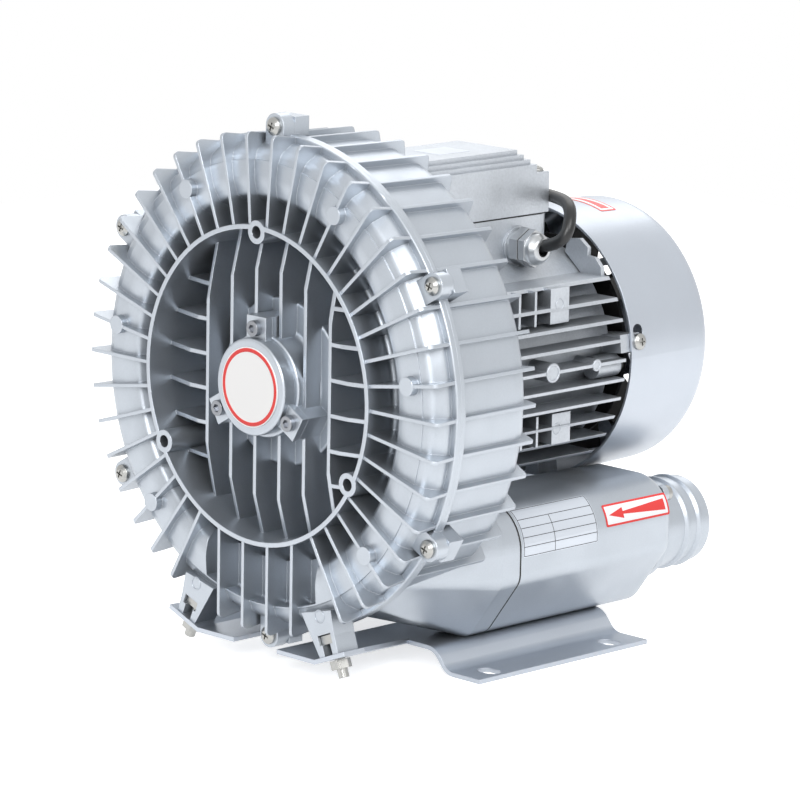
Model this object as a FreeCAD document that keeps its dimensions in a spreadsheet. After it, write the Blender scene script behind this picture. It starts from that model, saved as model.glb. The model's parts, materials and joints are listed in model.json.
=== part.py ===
"""Side channel blower with its drive motor, ports, feet and mains lead.

Every piece is drawn in the casing frame: Y runs along the shaft from the finned cover to the
fan cowl, Y = 0 is the plane of the six cover screw heads, Z is up and the shaft is at X = Z = 0.
Each finished piece is then set on the floor, with the origin midway between the four foot slots.
"""
import FreeCAD, Part
import math
import os
import Sketcher
from FreeCAD import Placement, Rotation, Vector

os.makedirs("parts", exist_ok=True)
doc = FreeCAD.newDocument("SideChannelBlower")

# Driving sizes, in millimetres and degrees.
SIZES = [
    # Where the blower stands
    ("axis_height", 155.0),
    ("slot_centre_y", 124.5),
    # Cover and housing, which meet at the joint plane
    ("joint_y", 10.5),
    ("flange_thick", 3.4),
    ("rim_r", 134.0),
    ("rim_bead", 0.8),
    ("casing_wall", 3.6),
    ("channel_in_r", 95.0),
    ("channel_out_r", 126.4),
    ("cover_channel_y", -1.4),
    ("stripper_half", 43.0),
    ("stripper_wall", 4.0),
    ("stripper_floor_y", 5.0),
    ("stripper_out_r", 119.5),
    ("ring_r", 86.5),
    ("ring_wall", 2.5),
    ("ring_front_y", -10.4),
    ("groove_y", 9.0),
    ("recess_floor_y", 34.5),
    ("recess_floor_thick", 4.0),
    ("fin_count", 42.0),
    ("fin_thick", 1.9),
    ("fin_front_y", -9.0),
    ("fin_tip_r", 135.8),
    ("fin_pad_r", 114.0),
    ("fin_pad_size", 10.0),
    ("plate_gap", 19.0),
    ("plate_thick", 2.2),
    ("plate_front_y", -1.0),
    # Cover screws and the lugs that they hold together
    ("screw_circle_r", 138.0),
    ("lug_r", 6.9),
    ("lug_front_y", 2.2),
    ("lug_rear_y", 20.5),
    ("cover_screw_r", 2.5),
    ("cover_screw_head_r", 4.9),
    ("cover_screw_head_h", 2.9),
    ("cover_screw_length", 16.5),
    # Tapped bosses on the ring
    ("ring_boss_circle_r", 82.8),
    ("ring_boss_r", 6.3),
    ("ring_boss_hole_r", 3.4),
    ("ring_boss_hole_depth", 22.0),
    # Hub of the cover, bearing cap and badge
    ("hub_r", 28.2),
    ("hub_front_y", -5.0),
    ("hub_step_r", 45.5),
    ("hub_step_y", 10.0),
    ("cap_lug_circle_r", 31.4),
    ("cap_lug_r", 7.4),
    ("cap_r", 26.2),
    ("cap_front_y", -13.6),
    ("cap_lug_front_y", -9.6),
    ("badge_r", 21.6),
    ("badge_thick", 0.5),
    ("cap_screw_r", 2.5),
    ("cap_screw_head_r", 4.3),
    ("cap_screw_head_h", 3.4),
    ("cap_screw_length", 16.0),
    # Legs of the cover
    ("leg_tilt", 21.4),
    ("leg_foot_x", 56.3),
    ("leg_foot_z", -137.0),
    ("leg_front_y", -7.0),
    ("leg_depth", 15.0),
    ("leg_half", 7.3),
    ("tee_slot_half", 3.2),
    ("tee_head_half", 5.2),
    ("tee_head_low", 6.2),
    ("tee_head_high", 11.6),
    # Housing
    ("housing_r", 129.2),
    ("housing_rear_y", 70.0),
    ("housing_corner_r", 13.0),
    ("housing_channel_y", 66.0),
    ("housing_land_y", 48.6),
    ("housing_plate_rear_y", 56.0),
    ("housing_step_r", 88.5),
    ("rear_fin_tip_r", 132.8),
    ("rear_fin_end_y", 68.5),
    ("spigot_ring_in_r", 50.0),
    ("spigot_ring_length", 6.0),
    # Ports, silencers and hose spigots
    ("port_x", 55.0),
    ("port_z", -103.0),
    ("port_half", 37.4),
    ("port_top", 36.2),
    ("port_bottom", 38.0),
    ("port_side_low", -4.0),
    ("port_foot_half", 12.0),
    ("port_corner_r", 24.0),
    ("port_low_corner_r", 12.0),
    ("duct_r", 21.0),
    ("neck_rear_y", 99.6),
    ("neck_collar", 13.0),
    ("gasket_thick", 1.2),
    ("silencer_rear_y", 224.0),
    ("silencer_wall", 5.0),
    ("silencer_edge_r", 9.0),
    ("foam_out_r", 28.5),
    ("foam_in_r", 22.6),
    ("core_thick", 0.9),
    ("hose_spigot_r", 24.8),
    ("hose_bead_r", 26.3),
    ("hose_spigot_rear_y", 267.0),
    ("hose_spigot_bore_r", 21.4),
    ("hose_flange_r", 29.0),
    ("hose_flange_thick", 4.0),
    ("tie_screw_circle_r", 33.5),
    ("tie_screw_r", 2.5),
    # Foot plates
    ("foot_thick", 2.5),
    ("foot_in_x", 17.0),
    ("foot_bend_x", 46.0),
    ("foot_deck_z", -141.0),
    ("foot_front_y", -8.0),
    ("foot_main_front_y", 60.0),
    ("foot_rear_y", 192.0),
    ("foot_wing_reach", 24.0),
    ("foot_shoulder_x", 68.5),
    ("foot_flange_in_x", 78.6),
    ("foot_bend_r", 12.0),
    ("foot_out_x", 102.5),
    ("slot_x", 92.6),
    ("slot_spacing_y", 94.0),
    ("slot_r", 5.0),
    ("slot_length", 14.0),
    ("foot_bolt_r", 3.0),
    ("foot_nut_flats", 10.0),
    ("foot_nut_h", 5.0),
    ("foot_screw_y", 93.0),
    ("foot_screw_rear_y", 178.0),
    # Motor frame with its terminal box
    ("barrel_in_r", 57.0),
    ("barrel_r", 61.5),
    ("shield_lug_out", 5.5),
    ("shield_boss_length", 12.0),
    ("frame_screw_out", 7.5),
    ("barrel_rear_y", 191.0),
    ("motor_fin_pitch", 11.0),
    ("motor_fin_thick", 1.8),
    ("motor_fin_tip_r", 76.7),
    ("motor_fin_rear_y", 197.0),
    ("box_half", 30.0),
    ("box_front_y", 75.0),
    ("box_rear_y", 176.0),
    ("box_low_z", 40.0),
    ("box_floor_z", 67.5),
    ("box_top_z", 77.6),
    ("box_wall", 3.5),
    ("pad_x", 69.0),
    ("pad_y", 151.0),
    ("pad_width", 14.5),
    ("lid_gasket_thick", 0.9),
    ("lid_low_z", 78.5),
    ("lid_top_z", 113.5),
    ("lid_wall", 2.4),
    ("lid_half", 30.4),
    ("lid_top_half", 22.5),
    ("lid_step", 2.6),
    ("lid_rear_y", 171.0),
    ("lid_lug_y", 10.0),
    ("lid_lug_z", 101.0),
    # Gland and mains lead
    ("gland_y", 156.6),
    ("gland_z", 62.0),
    ("gland_ring_r", 11.0),
    ("gland_thread_r", 7.0),
    ("gland_flats", 18.5),
    ("gland_end_x", 50.5),
    ("cable_r", 3.5),
    # Rotor
    ("shaft_r", 10.0),
    ("shaft_mid_r", 12.5),
    ("rotor_r", 35.6),
    ("air_gap", 0.4),
    ("core_front_y", 84.0),
    ("core_length", 76.0),
    ("coil_reach", 14.0),
    ("bearing_out_r", 23.5),
    ("bearing_width", 14.0),
    ("bearing_pitch_r", 16.75),
    ("ball_r", 3.9),
    ("ball_count", 8.0),
    ("ball_clear", 0.08),
    ("cage_reach", 1.3),
    ("front_bearing_y", -4.2),
    ("rear_bearing_y", 181.0),
    ("run_clear", 0.05),
    ("impeller_clear", 0.9),
    ("impeller_front_y", 20.0),
    ("impeller_rear_y", 47.8),
    ("impeller_out_r", 124.0),
    ("impeller_cup_r", 88.2),
    ("impeller_wall", 3.0),
    ("blade_count", 36.0),
    ("blade_thick", 2.0),
    # Fan and cowl
    ("cowl_front_r", 77.3),
    ("cowl_rear_r", 75.2),
    ("cowl_front_y", 201.0),
    ("cowl_rear_y", 271.0),
    ("cowl_corner_r", 12.0),
    ("cowl_wall", 1.4),
    ("cowl_clear", 0.6),
    ("cowl_post_half", 5.0),
    ("fan_r", 67.0),
    ("fan_front_y", 214.0),
    ("fan_rear_y", 250.0),
    ("fan_blades", 9.0),
]

sheet = doc.addObject("Spreadsheet::Sheet", "Sizes")
for row, (alias, value) in enumerate(SIZES, 1):
    sheet.set("A%d" % row, alias.replace("_", " "))
    sheet.set("B%d" % row, str(value))
    sheet.setAlias("B%d" % row, alias)
doc.recompute()


class Dim(float):
    """A number that carries the sheet expression it was worked out from."""

    def __new__(cls, value, text):
        made = float.__new__(cls, value)
        made.text = text
        return made

    def __add__(self, other):
        return Dim(float(self) + float(other), "(%s + %s)" % (self.text, written(other)))

    def __radd__(self, other):
        return Dim(float(other) + float(self), "(%s + %s)" % (written(other), self.text))

    def __sub__(self, other):
        return Dim(float(self) - float(other), "(%s - %s)" % (self.text, written(other)))

    def __rsub__(self, other):
        return Dim(float(other) - float(self), "(%s - %s)" % (written(other), self.text))

    def __mul__(self, other):
        return Dim(float(self) * float(other), "(%s * %s)" % (self.text, written(other)))

    def __rmul__(self, other):
        return Dim(float(other) * float(self), "(%s * %s)" % (written(other), self.text))

    def __truediv__(self, other):
        return Dim(float(self) / float(other), "(%s / %s)" % (self.text, written(other)))

    def __rtruediv__(self, other):
        return Dim(float(other) / float(self), "(%s / %s)" % (written(other), self.text))

    def __neg__(self):
        return Dim(-float(self), "(-1 * %s)" % self.text)


def written(number):
    """The text of a number in a sheet expression."""
    return number.text if isinstance(number, Dim) else "(%.6f)" % number


def cosine(angle):
    return Dim(math.cos(math.radians(angle)), "cos(%s * 1 deg)" % written(angle))


def sine(angle):
    return Dim(math.sin(math.radians(angle)), "sin(%s * 1 deg)" % written(angle))


class Sheet:
    """The cells of the sheet by name, each as a Dim."""


S = Sheet()
for alias, value in SIZES:
    setattr(S, alias, Dim(value, "Sizes." + alias))

ALONG = {
    "x": Rotation(Vector(0, 1, 0), 90),
    "y": Rotation(Vector(1, 0, 0), -90),
    "z": Rotation(),
    "-x": Rotation(Vector(0, 1, 0), -90),
    "-z": Rotation(Vector(1, 0, 0), 180),
}
SHAFT = Vector(0, 1, 0)
PIECES = {}


# Building blocks

def bind(thing, prop, value):
    """Give a property its number, tied to the sheet where the number comes from there."""
    setattr(thing, prop, float(value))
    if isinstance(value, Dim):
        thing.setExpression(prop, value.text)


def put(thing, x=0.0, y=0.0, z=0.0, turn=None):
    """Place an object, with each coordinate tied to the sheet where it comes from there."""
    thing.Placement = Placement(Vector(float(x), float(y), float(z)), turn or Rotation())
    for axis, value in zip("xyz", (x, y, z)):
        if isinstance(value, Dim):
            thing.setExpression("Placement.Base." + axis, value.text)
    return thing


def rod(name, radius, length, x=0.0, y=0.0, z=0.0, along="y", turn=None):
    """A cylinder that starts at a point and runs along an axis."""
    made = doc.addObject("Part::Cylinder", name)
    bind(made, "Radius", radius)
    bind(made, "Height", length)
    return put(made, x, y, z, turn or ALONG[along])


def block(name, x, y, z, dx, dy, dz, turn=None):
    """A box from its lowest corner."""
    made = doc.addObject("Part::Box", name)
    bind(made, "Length", dx)
    bind(made, "Width", dy)
    bind(made, "Height", dz)
    return put(made, x, y, z, turn)


def hexagon(name, flats, length, x, y, z, along="y", turn=None):
    """A hexagonal prism, by its width across flats."""
    made = doc.addObject("Part::Prism", name)
    made.Polygon = 6
    bind(made, "Circumradius", flats / (2 * cosine(30)))
    bind(made, "Height", length)
    return put(made, x, y, z, turn or ALONG[along])


def fused(name, things):
    made = doc.addObject("Part::MultiFuse", name)
    made.Shapes = things
    return made


def gathered(name, things):
    """Pieces that don't touch one another, kept together as one tool."""
    made = doc.addObject("Part::Compound", name)
    made.Links = things
    return made


def shared(name, things):
    made = doc.addObject("Part::MultiCommon", name)
    made.Shapes = things
    return made


def cut(name, base, tools):
    made = doc.addObject("Part::Cut", name)
    made.Base = base
    made.Tool = tools[0] if len(tools) == 1 else fused(name + "_tools", tools)
    return made


def polar(radius, angle):
    """X and Z of a point on a circle about the shaft."""
    return radius * cosine(angle), radius * sine(angle)


def tie(sketch, kind, geometry, end, value):
    """Hold one coordinate of a sketch point at a sheet value."""
    if not isinstance(value, Dim) and abs(value) < 1e-9:
        axis = -2 if kind == "DistanceX" else -1
        sketch.addConstraint(Sketcher.Constraint("PointOnObject", geometry, end, axis))
        return
    index = sketch.addConstraint(
        Sketcher.Constraint(kind, -1, 1, geometry, end, float(value)))
    if isinstance(value, Dim):
        sketch.setExpression("Constraints[%d]" % index, value.text)


def draw(sketch, corners):
    """A closed outline. A corner is (x, y), or (x, y, radius) where it is rounded."""
    count = len(corners)
    flat = [Vector(float(c[0]), float(c[1]), 0) for c in corners]
    starts, ends, arcs = [], [], {}
    for i, corner in enumerate(corners):
        here, before, after = flat[i], flat[i - 1], flat[(i + 1) % count]
        if len(corner) == 2:
            starts.append(here)
            ends.append(here)
            continue
        radius = float(corner[2])
        back, on = (before - here).normalize(), (after - here).normalize()
        half = back.getAngle(on) / 2
        reach = radius / math.tan(half)
        centre = here + (back + on).normalize() * (radius / math.sin(half))
        ends.append(here + back * reach)
        starts.append(here + on * reach)
        arcs[i] = (centre, radius, back.cross(on).z < 0)
    lines = []
    for i in range(count):
        line = Part.LineSegment(starts[i], ends[(i + 1) % count])
        lines.append(sketch.addGeometry(line))
    for i, corner in enumerate(corners):
        before = lines[i - 1]
        if i not in arcs:
            sketch.addConstraint(Sketcher.Constraint("Coincident", before, 2, lines[i], 1))
            tie(sketch, "DistanceX", lines[i], 1, corner[0])
            tie(sketch, "DistanceY", lines[i], 1, corner[1])
            continue
        centre, radius, left = arcs[i]
        first, last = (ends[i], starts[i]) if left else (starts[i], ends[i])
        angle_in = math.atan2(first.y - centre.y, first.x - centre.x)
        angle_out = math.atan2(last.y - centre.y, last.x - centre.x)
        circle = Part.Circle(centre, Vector(0, 0, 1), radius)
        arc = sketch.addGeometry(Part.ArcOfCircle(circle, angle_in, angle_out))
        point = sketch.addGeometry(Part.Point(flat[i]), True)
        sketch.addConstraint(Sketcher.Constraint("Tangent", before, 2, arc, 1 if left else 2))
        sketch.addConstraint(Sketcher.Constraint("Tangent", lines[i], 1, arc, 2 if left else 1))
        sketch.addConstraint(Sketcher.Constraint("PointOnObject", point, 1, before))
        sketch.addConstraint(Sketcher.Constraint("PointOnObject", point, 1, lines[i]))
        tie(sketch, "DistanceX", point, 1, corner[0])
        tie(sketch, "DistanceY", point, 1, corner[1])
        index = sketch.addConstraint(Sketcher.Constraint("Radius", arc, radius))
        if isinstance(corner[2], Dim):
            sketch.setExpression("Constraints[%d]" % index, corner[2].text)


def sketch_on(body, role, name, corners, offset=0.0):
    """A sketch on one of the body's own planes, moved along the plane's normal."""
    sketch = body.newObject("Sketcher::SketchObject", name)
    plane = [p for p in body.Origin.OriginFeatures if p.Role == role][0]
    sketch.AttachmentSupport = [(plane, "")]
    sketch.MapMode = "FlatFace"
    sketch.AttachmentOffset = Placement(Vector(0, 0, float(offset)), Rotation())
    if isinstance(offset, Dim):
        sketch.setExpression("AttachmentOffset.Base.z", offset.text)
    draw(sketch, corners)
    return sketch


def turned(name, corners, axis="V_Axis", role="XY_Plane"):
    """A body turned about the shaft. A corner is (radius, place along the shaft)."""
    body = doc.addObject("PartDesign::Body", name)
    sketch = sketch_on(body, role, name + "_profile", corners)
    revolution = body.newObject("PartDesign::Revolution", name + "_turning")
    revolution.Profile = sketch
    revolution.ReferenceAxis = (sketch, [axis])
    revolution.Angle = 360
    body.Tip = revolution
    return body


def pushed(name, corners, start, length):
    """A body whose outline in X and Z is carried along the shaft."""
    body = doc.addObject("PartDesign::Body", name)
    sketch = sketch_on(body, "XZ_Plane", name + "_outline", corners, -start)
    pad = body.newObject("PartDesign::Pad", name + "_pad")
    pad.Profile = sketch
    bind(pad, "Length", length)
    pad.Reversed = True
    body.Tip = pad
    return body


def raised(name, corners, start, height):
    """A body whose outline in X and Y is carried upwards."""
    body = doc.addObject("PartDesign::Body", name)
    sketch = sketch_on(body, "XY_Plane", name + "_outline", corners, start)
    pad = body.newObject("PartDesign::Pad", name + "_pad")
    pad.Profile = sketch
    bind(pad, "Length", height)
    body.Tip = pad
    return body


def finish(node, thing):
    """Set a finished piece on the floor and keep it under its node's name."""
    thing.Label = node
    put(thing, 0.0, -S.slot_centre_y, S.axis_height, thing.Placement.Rotation)
    PIECES[node] = thing


def single(node, thing):
    """A piece that is one primitive: its own place is kept, inside a compound."""
    made = doc.addObject("Part::Compound", node + "_piece")
    made.Links = [thing]
    finish(node, made)


def copies(node, master, places):
    """Equal pieces from one master, each with its own place."""
    doc.recompute()
    made = doc.addObject("Part::Feature", node)
    solids = []
    for place in places:
        shape = master.Shape.copy()
        shape.Placement = place.multiply(shape.Placement)
        solids.append(shape)
    made.Shape = Part.makeCompound(solids)
    finish(node, made)


def mirrored(node, master):
    """The same piece on the other side of the machine's middle plane."""
    made = doc.addObject("Part::Mirroring", node + "_mirror")
    made.Source = master
    made.Base = Vector(0, 0, 0)
    made.Normal = Vector(1, 0, 0)
    made.Label = node
    PIECES[node] = made


def pair(node, master):
    """The piece and its mirror image as one node."""
    other = doc.addObject("Part::Mirroring", node + "_other")
    other.Source = master
    other.Base = Vector(0, 0, 0)
    other.Normal = Vector(1, 0, 0)
    made = doc.addObject("Part::Compound", node + "_pair")
    made.Links = [master, other]
    finish(node, made)


def about_shaft(angle):
    """A turn about the shaft that takes +X towards +Z."""
    return Rotation(SHAFT, -angle)


# Shared values

fin_step = 360 / S.fin_count
first_fin = -60.0
last_fin = 240.0
fin_total = int(round((last_fin - first_fin) / float(fin_step))) + 1
cover_rim_y = S.joint_y - S.flange_thick
housing_rim_y = S.joint_y + S.flange_thick
floor_back_y = S.recess_floor_y + S.recess_floor_thick
drum_r = S.ring_r
screw_angles = [30.0 + 60.0 * k for k in range(6)]
third_angles = [90.0, 210.0, 330.0]
plate_places = [(k - 2.5) * S.plate_gap for k in range(6)]
shaft_front_y = S.cap_lug_front_y + 1.0


def radial_plates(name, inner, outer, front, rear, left_out=0):
    """Thin plates in planes through the shaft, at every fin angle but the lowest ones."""
    plates = []
    for k in range(left_out, fin_total - left_out):
        angle = first_fin + k * float(fin_step)
        plate = doc.addObject("Part::Box", "%s_%d" % (name, k))
        bind(plate, "Length", outer - inner)
        bind(plate, "Width", rear - front)
        bind(plate, "Height", S.fin_thick)
        at = about_shaft(angle)
        turn = "%.6f + %d * %s" % (first_fin, k, fin_step.text)
        plate.Placement = Placement(Vector(0, 0, 0), at)
        plate.setExpression("Placement.Rotation.Axis.x", "0")
        plate.setExpression("Placement.Rotation.Axis.y", "-1")
        plate.setExpression("Placement.Rotation.Axis.z", "0")
        plate.setExpression("Placement.Rotation.Angle", "(%s) * 1 deg" % turn)
        theta = Dim(angle, "(%s)" % turn)
        half = S.fin_thick / 2
        plate.setExpression("Placement.Base.x", (inner * cosine(theta) + half * sine(theta)).text)
        plate.setExpression("Placement.Base.y", front.text)
        plate.setExpression("Placement.Base.z", (inner * sine(theta) - half * cosine(theta)).text)
        plates.append(plate)
    return plates


# Front cover: a ring of side channel, a drum-shaped recess with the bearing hub, and its fins

def front_cover():
    wall = S.casing_wall
    bulge_y = S.cover_channel_y - wall
    shell = turned("cover_shell", [
        (14.0, S.hub_front_y),
        (S.hub_r, S.hub_front_y, 1.2),
        (S.hub_r, S.hub_step_y, 3.0),
        (S.hub_step_r, S.hub_step_y, 1.5),
        (S.hub_step_r, S.recess_floor_y, 4.0),
        (S.ring_r - S.ring_wall, S.recess_floor_y, 4.0),
        (S.ring_r - S.ring_wall, S.ring_front_y),
        (S.ring_r, S.ring_front_y),
        (S.ring_r, S.groove_y, 3.0),
        (S.channel_in_r, S.groove_y),
        (S.channel_in_r + 2.2, bulge_y + 7.5),
        (S.channel_in_r + 6.5, bulge_y + 1.4, 5.0),
        (S.channel_in_r + 14.0, bulge_y - 0.3, 20.0),
        (S.channel_out_r - 6.0, bulge_y + 0.5),
        (S.channel_out_r - 6.0, bulge_y + 1.1),
        (S.channel_out_r - 1.0, bulge_y + 2.6, 6.0),
        (S.channel_out_r + wall, bulge_y + 10.0, 6.0),
        (S.channel_out_r + wall, cover_rim_y),
        (S.rim_r, cover_rim_y, S.rim_bead),
        (S.rim_r, S.joint_y),
        (S.channel_in_r + 3.0, S.joint_y),
        (S.channel_in_r + 3.0, S.impeller_front_y - S.impeller_clear),
        (drum_r + 0.6, S.impeller_front_y - S.impeller_clear),
        (drum_r + 0.6, floor_back_y),
        (14.0, floor_back_y),
    ])
    hollow = turned("cover_channel_hollow", [
        (S.channel_in_r + 3.0, S.joint_y + 12.0),
        (S.channel_in_r + 3.0, S.cover_channel_y + 7.5, 4.0),
        (S.channel_in_r + 7.5, S.cover_channel_y + 0.4, 6.0),
        (S.channel_out_r - 6.5, S.cover_channel_y + 0.4, 6.0),
        (S.channel_out_r, S.cover_channel_y + 6.0, 6.0),
        (S.channel_out_r, S.joint_y + 12.0),
    ])
    fin_zone = turned("cover_fin_zone", [
        (S.ring_r - 1.0, S.fin_front_y),
        (S.fin_tip_r, S.fin_front_y, 3.0),
        (S.rim_r - 0.6, cover_rim_y + 0.6),
        (S.channel_out_r - 2.0, cover_rim_y + 0.6),
        (S.channel_out_r - 8.0, bulge_y + 6.0),
        (S.channel_in_r + 10.0, bulge_y + 6.0),
        (S.channel_in_r + 3.0, S.groove_y + 2.0),
        (S.ring_r - 1.0, S.groove_y + 2.0),
    ])
    reach = S.fin_tip_r + 4.0
    plates = radial_plates("cover_fin", S.ring_r - 2.0, reach, S.fin_front_y - 2.0, S.joint_y)
    fins = shared("cover_fins", [fin_zone, gathered("cover_fin_plates", plates)])
    low_zone = turned("cover_low_fin_zone", [
        (S.ring_r - 1.0, S.fin_front_y),
        (S.fin_tip_r, S.fin_front_y, 3.0),
        (S.rim_r - 0.6, cover_rim_y + 0.6),
        (S.ring_r - 1.0, cover_rim_y + 0.6),
    ])
    low_plates = []
    for k, x in enumerate(plate_places[1:5]):
        low_plates.append(block("cover_low_fin_%d" % k, x - S.fin_thick / 2,
                                S.fin_front_y - 2.0, -reach, S.fin_thick,
                                S.joint_y - S.fin_front_y + 2.0, reach * 0.55))
    low_fins = shared("cover_low_fins", [low_zone, gathered("cover_low_plates", low_plates)])
    pocket_ring = turned("stripper_pocket_ring", [
        (S.ring_r, S.fin_front_y - 3.0), (S.stripper_out_r, S.fin_front_y - 3.0),
        (S.stripper_out_r, S.stripper_floor_y, 2.0), (S.ring_r, S.stripper_floor_y, 2.0)])
    pocket_block = block("stripper_pocket_block", -S.stripper_half, S.fin_front_y - 4.0,
                         -reach, S.stripper_half * 2, reach, reach - S.ring_r * 0.6)
    pocket = shared("stripper_pocket", [pocket_ring, pocket_block])
    stripper = block("stripper", -S.stripper_half - S.stripper_wall, S.fin_front_y,
                     -reach, (S.stripper_half + S.stripper_wall) * 2, reach,
                     reach - S.ring_r * 0.6)
    casting = cut("cover_shell_stripped", shell, [pocket])
    hollow = cut("cover_channel_stopped", hollow, [stripper])
    recess_zone = turned("recess_zone", [
        (S.hub_r - 1.0, S.plate_front_y),
        (S.ring_r * 0.72, S.plate_front_y),
        (S.ring_r - 1.0, S.plate_front_y + 6.5),
        (S.ring_r - 1.0, S.recess_floor_y + 1.0),
        (S.hub_r - 1.0, S.recess_floor_y + 1.0),
    ])
    ribs = []
    depth = S.recess_floor_y - S.plate_front_y + 4.0
    for k, x in enumerate(plate_places):
        ribs.append(block("recess_plate_%d" % k, x - S.plate_thick / 2, S.plate_front_y - 2.0,
                          -S.ring_r, S.plate_thick, depth, S.ring_r * 2))
    upright = shared("recess_upright_ribs", [recess_zone, gathered("recess_plates", ribs)])
    ribs = []
    for k, z in enumerate(plate_places):
        for side, start in (("left", -S.ring_r), ("right", plate_places[-1])):
            ribs.append(block("recess_rib_%s_%d" % (side, k), start, S.plate_front_y - 2.0,
                              z - S.plate_thick / 2, S.ring_r - plate_places[-1], depth,
                              S.plate_thick))
    level = shared("recess_level_ribs", [recess_zone, gathered("recess_level_plates", ribs)])
    solids = [casting, fins, low_fins, upright, level]
    holes = []
    for k, angle in enumerate(third_angles):
        x, z = polar(S.ring_boss_circle_r, angle)
        post = rod("ring_boss_post_%d" % k, S.ring_boss_r,
                   S.recess_floor_y - S.ring_front_y + 1.0, x, S.ring_front_y, z)
        room = turned("ring_boss_wheel_room_%d" % k, [
            (drum_r + 0.6, S.impeller_front_y - S.impeller_clear),
            (drum_r + 12.0, S.impeller_front_y - S.impeller_clear),
            (drum_r + 12.0, floor_back_y), (drum_r + 0.6, floor_back_y)])
        solids.append(cut("ring_boss_%d" % k, post, [room]))
        holes.append(rod("ring_boss_hole_%d" % k, S.ring_boss_hole_r,
                         S.ring_boss_hole_depth, x, S.ring_front_y, z))
        x, z = polar(S.cap_lug_circle_r, angle)
        solids.append(square_lug("hub_boss_%d" % k, angle, S.hub_front_y,
                                 S.hub_step_y + 1.0))
        holes.append(rod("hub_boss_hole_%d" % k, S.cap_screw_r, S.cap_screw_length,
                         x, S.hub_front_y, z))
    for k, fin in enumerate((2, 8, 14, 21, 27, 33)):
        x, z = polar(S.fin_pad_r, first_fin + fin * float(fin_step))
        solids.append(rod("fin_pad_%d" % k, S.fin_pad_size / 2, wall + 1.6, x,
                          S.fin_front_y - 0.4, z))
    for k, angle in enumerate(screw_angles):
        x, z = polar(S.screw_circle_r, angle)
        solids.append(screw_lug("cover_lug_%d" % k, angle, S.lug_front_y, S.joint_y, 0.0))
        holes.append(rod("cover_lug_hole_%d" % k, S.cover_screw_r + 0.2,
                         S.joint_y - S.lug_front_y, x, S.lug_front_y, z))
    for side in (1, -1):
        solids.append(leg("cover_leg_%s" % ("right" if side > 0 else "left"), side))
    bearing_seat = rod("cover_bearing_seat", S.bearing_out_r, S.bearing_width + 0.9, 0.0,
                       S.hub_front_y, 0.0)
    seal_seat = rod("cover_seal_seat", 17.5, 8.0, 0.0, floor_back_y - 8.0, 0.0)
    body = cut("front_cover_casting", fused("front_cover_solid", solids),
               [bearing_seat, seal_seat, hollow] + holes)
    finish("front_cover", body)


def square_lug(name, angle, front, rear):
    """The square lug round one screw of the bearing cap, from the hub outwards."""
    inner = S.cap_r - 6.0
    return block(name, inner * cosine(angle) + S.cap_lug_r * sine(angle), front,
                 inner * sine(angle) - S.cap_lug_r * cosine(angle),
                 S.cap_lug_circle_r + S.cap_lug_r - inner - 1.0, rear - front,
                 S.cap_lug_r * 2, about_shaft(angle))


def screw_lug(name, angle, front, rear, square):
    """A lug round one cover screw, reaching in to the rim: round, or square by that much."""
    root_in = S.rim_r - 6.0
    root = block(name + "_root", root_in * cosine(angle) + S.lug_r * sine(angle), front,
                 root_in * sine(angle) - S.lug_r * cosine(angle),
                 S.screw_circle_r - root_in + square, rear - front, S.lug_r * 2,
                 about_shaft(angle))
    if square:
        return root
    x, z = polar(S.screw_circle_r, angle)
    return fused(name, [rod(name + "_ear", S.lug_r, rear - front, x, front, z), root])


def leg(name, side):
    """One leg of the cover, tilted outwards, with the tee slot for the foot bolt."""
    across, up = (cosine(S.leg_tilt), sine(S.leg_tilt)), (-sine(S.leg_tilt), cosine(S.leg_tilt))

    def at(u, w):
        x = S.leg_foot_x + across[0] * u + up[0] * w
        z = S.leg_foot_z + across[1] * u + up[1] * w
        return x * side, z

    slot, head = S.tee_slot_half, S.tee_head_half
    return pushed(name, [
        at(-S.leg_half, 0.0), at(-slot, 0.0), at(-slot, S.tee_head_low),
        at(-head, S.tee_head_low), at(-head, S.tee_head_high), at(head, S.tee_head_high),
        at(head, S.tee_head_low), at(slot, S.tee_head_low), at(slot, 0.0),
        at(S.leg_half, 0.0), at(S.leg_half + 0.4, 10.0), at(S.leg_half + 2.4, 23.0),
        at(-S.leg_half - 5.8, 26.0),
    ], S.leg_front_y, S.leg_depth)


# Rear housing: the other half of the channel, the motor flange and the two port necks

def port_outline(inset=0.0):
    """Outline of a port: round shoulders above, sides that fall in to a narrow foot."""
    half, low = S.port_half - inset, S.port_side_low
    corner, low_corner = S.port_corner_r - inset, S.port_low_corner_r - inset
    foot = S.port_foot_half - inset * 0.4
    top, bottom = S.port_z + S.port_top - inset, S.port_z - S.port_bottom + inset
    return [
        (S.port_x - half, top, corner), (S.port_x - half, S.port_z + low, low_corner),
        (S.port_x - foot, bottom, low_corner), (S.port_x + foot, bottom, low_corner),
        (S.port_x + half, S.port_z + low, low_corner), (S.port_x + half, top, corner),
    ]


def neck_root():
    """Where a port neck grows out of the housing's rim, corner by corner as the port outline."""
    rim = S.housing_r
    return [
        (S.port_x - 30.0, S.port_z + 33.0, 18.0), (S.port_x - 30.0, S.port_z + 1.0, 8.0),
        (43.0, -rim * 0.94, 8.0), (61.0, -rim * 0.885, 8.0),
        (80.0, -rim * 0.775, 8.0), (S.port_x + 30.0, S.port_z + 33.0, 18.0),
    ]


def lofted(name, first, first_y, last, last_y):
    """A body between two outlines in X and Z that have the same corners."""
    body = doc.addObject("PartDesign::Body", name)
    near = sketch_on(body, "XZ_Plane", name + "_near", first, -first_y)
    far = sketch_on(body, "XZ_Plane", name + "_far", last, -last_y)
    loft = body.newObject("PartDesign::AdditiveLoft", name + "_loft")
    loft.Profile = near
    loft.Sections = [far]
    loft.Ruled = True
    body.Tip = loft
    return body


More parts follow.
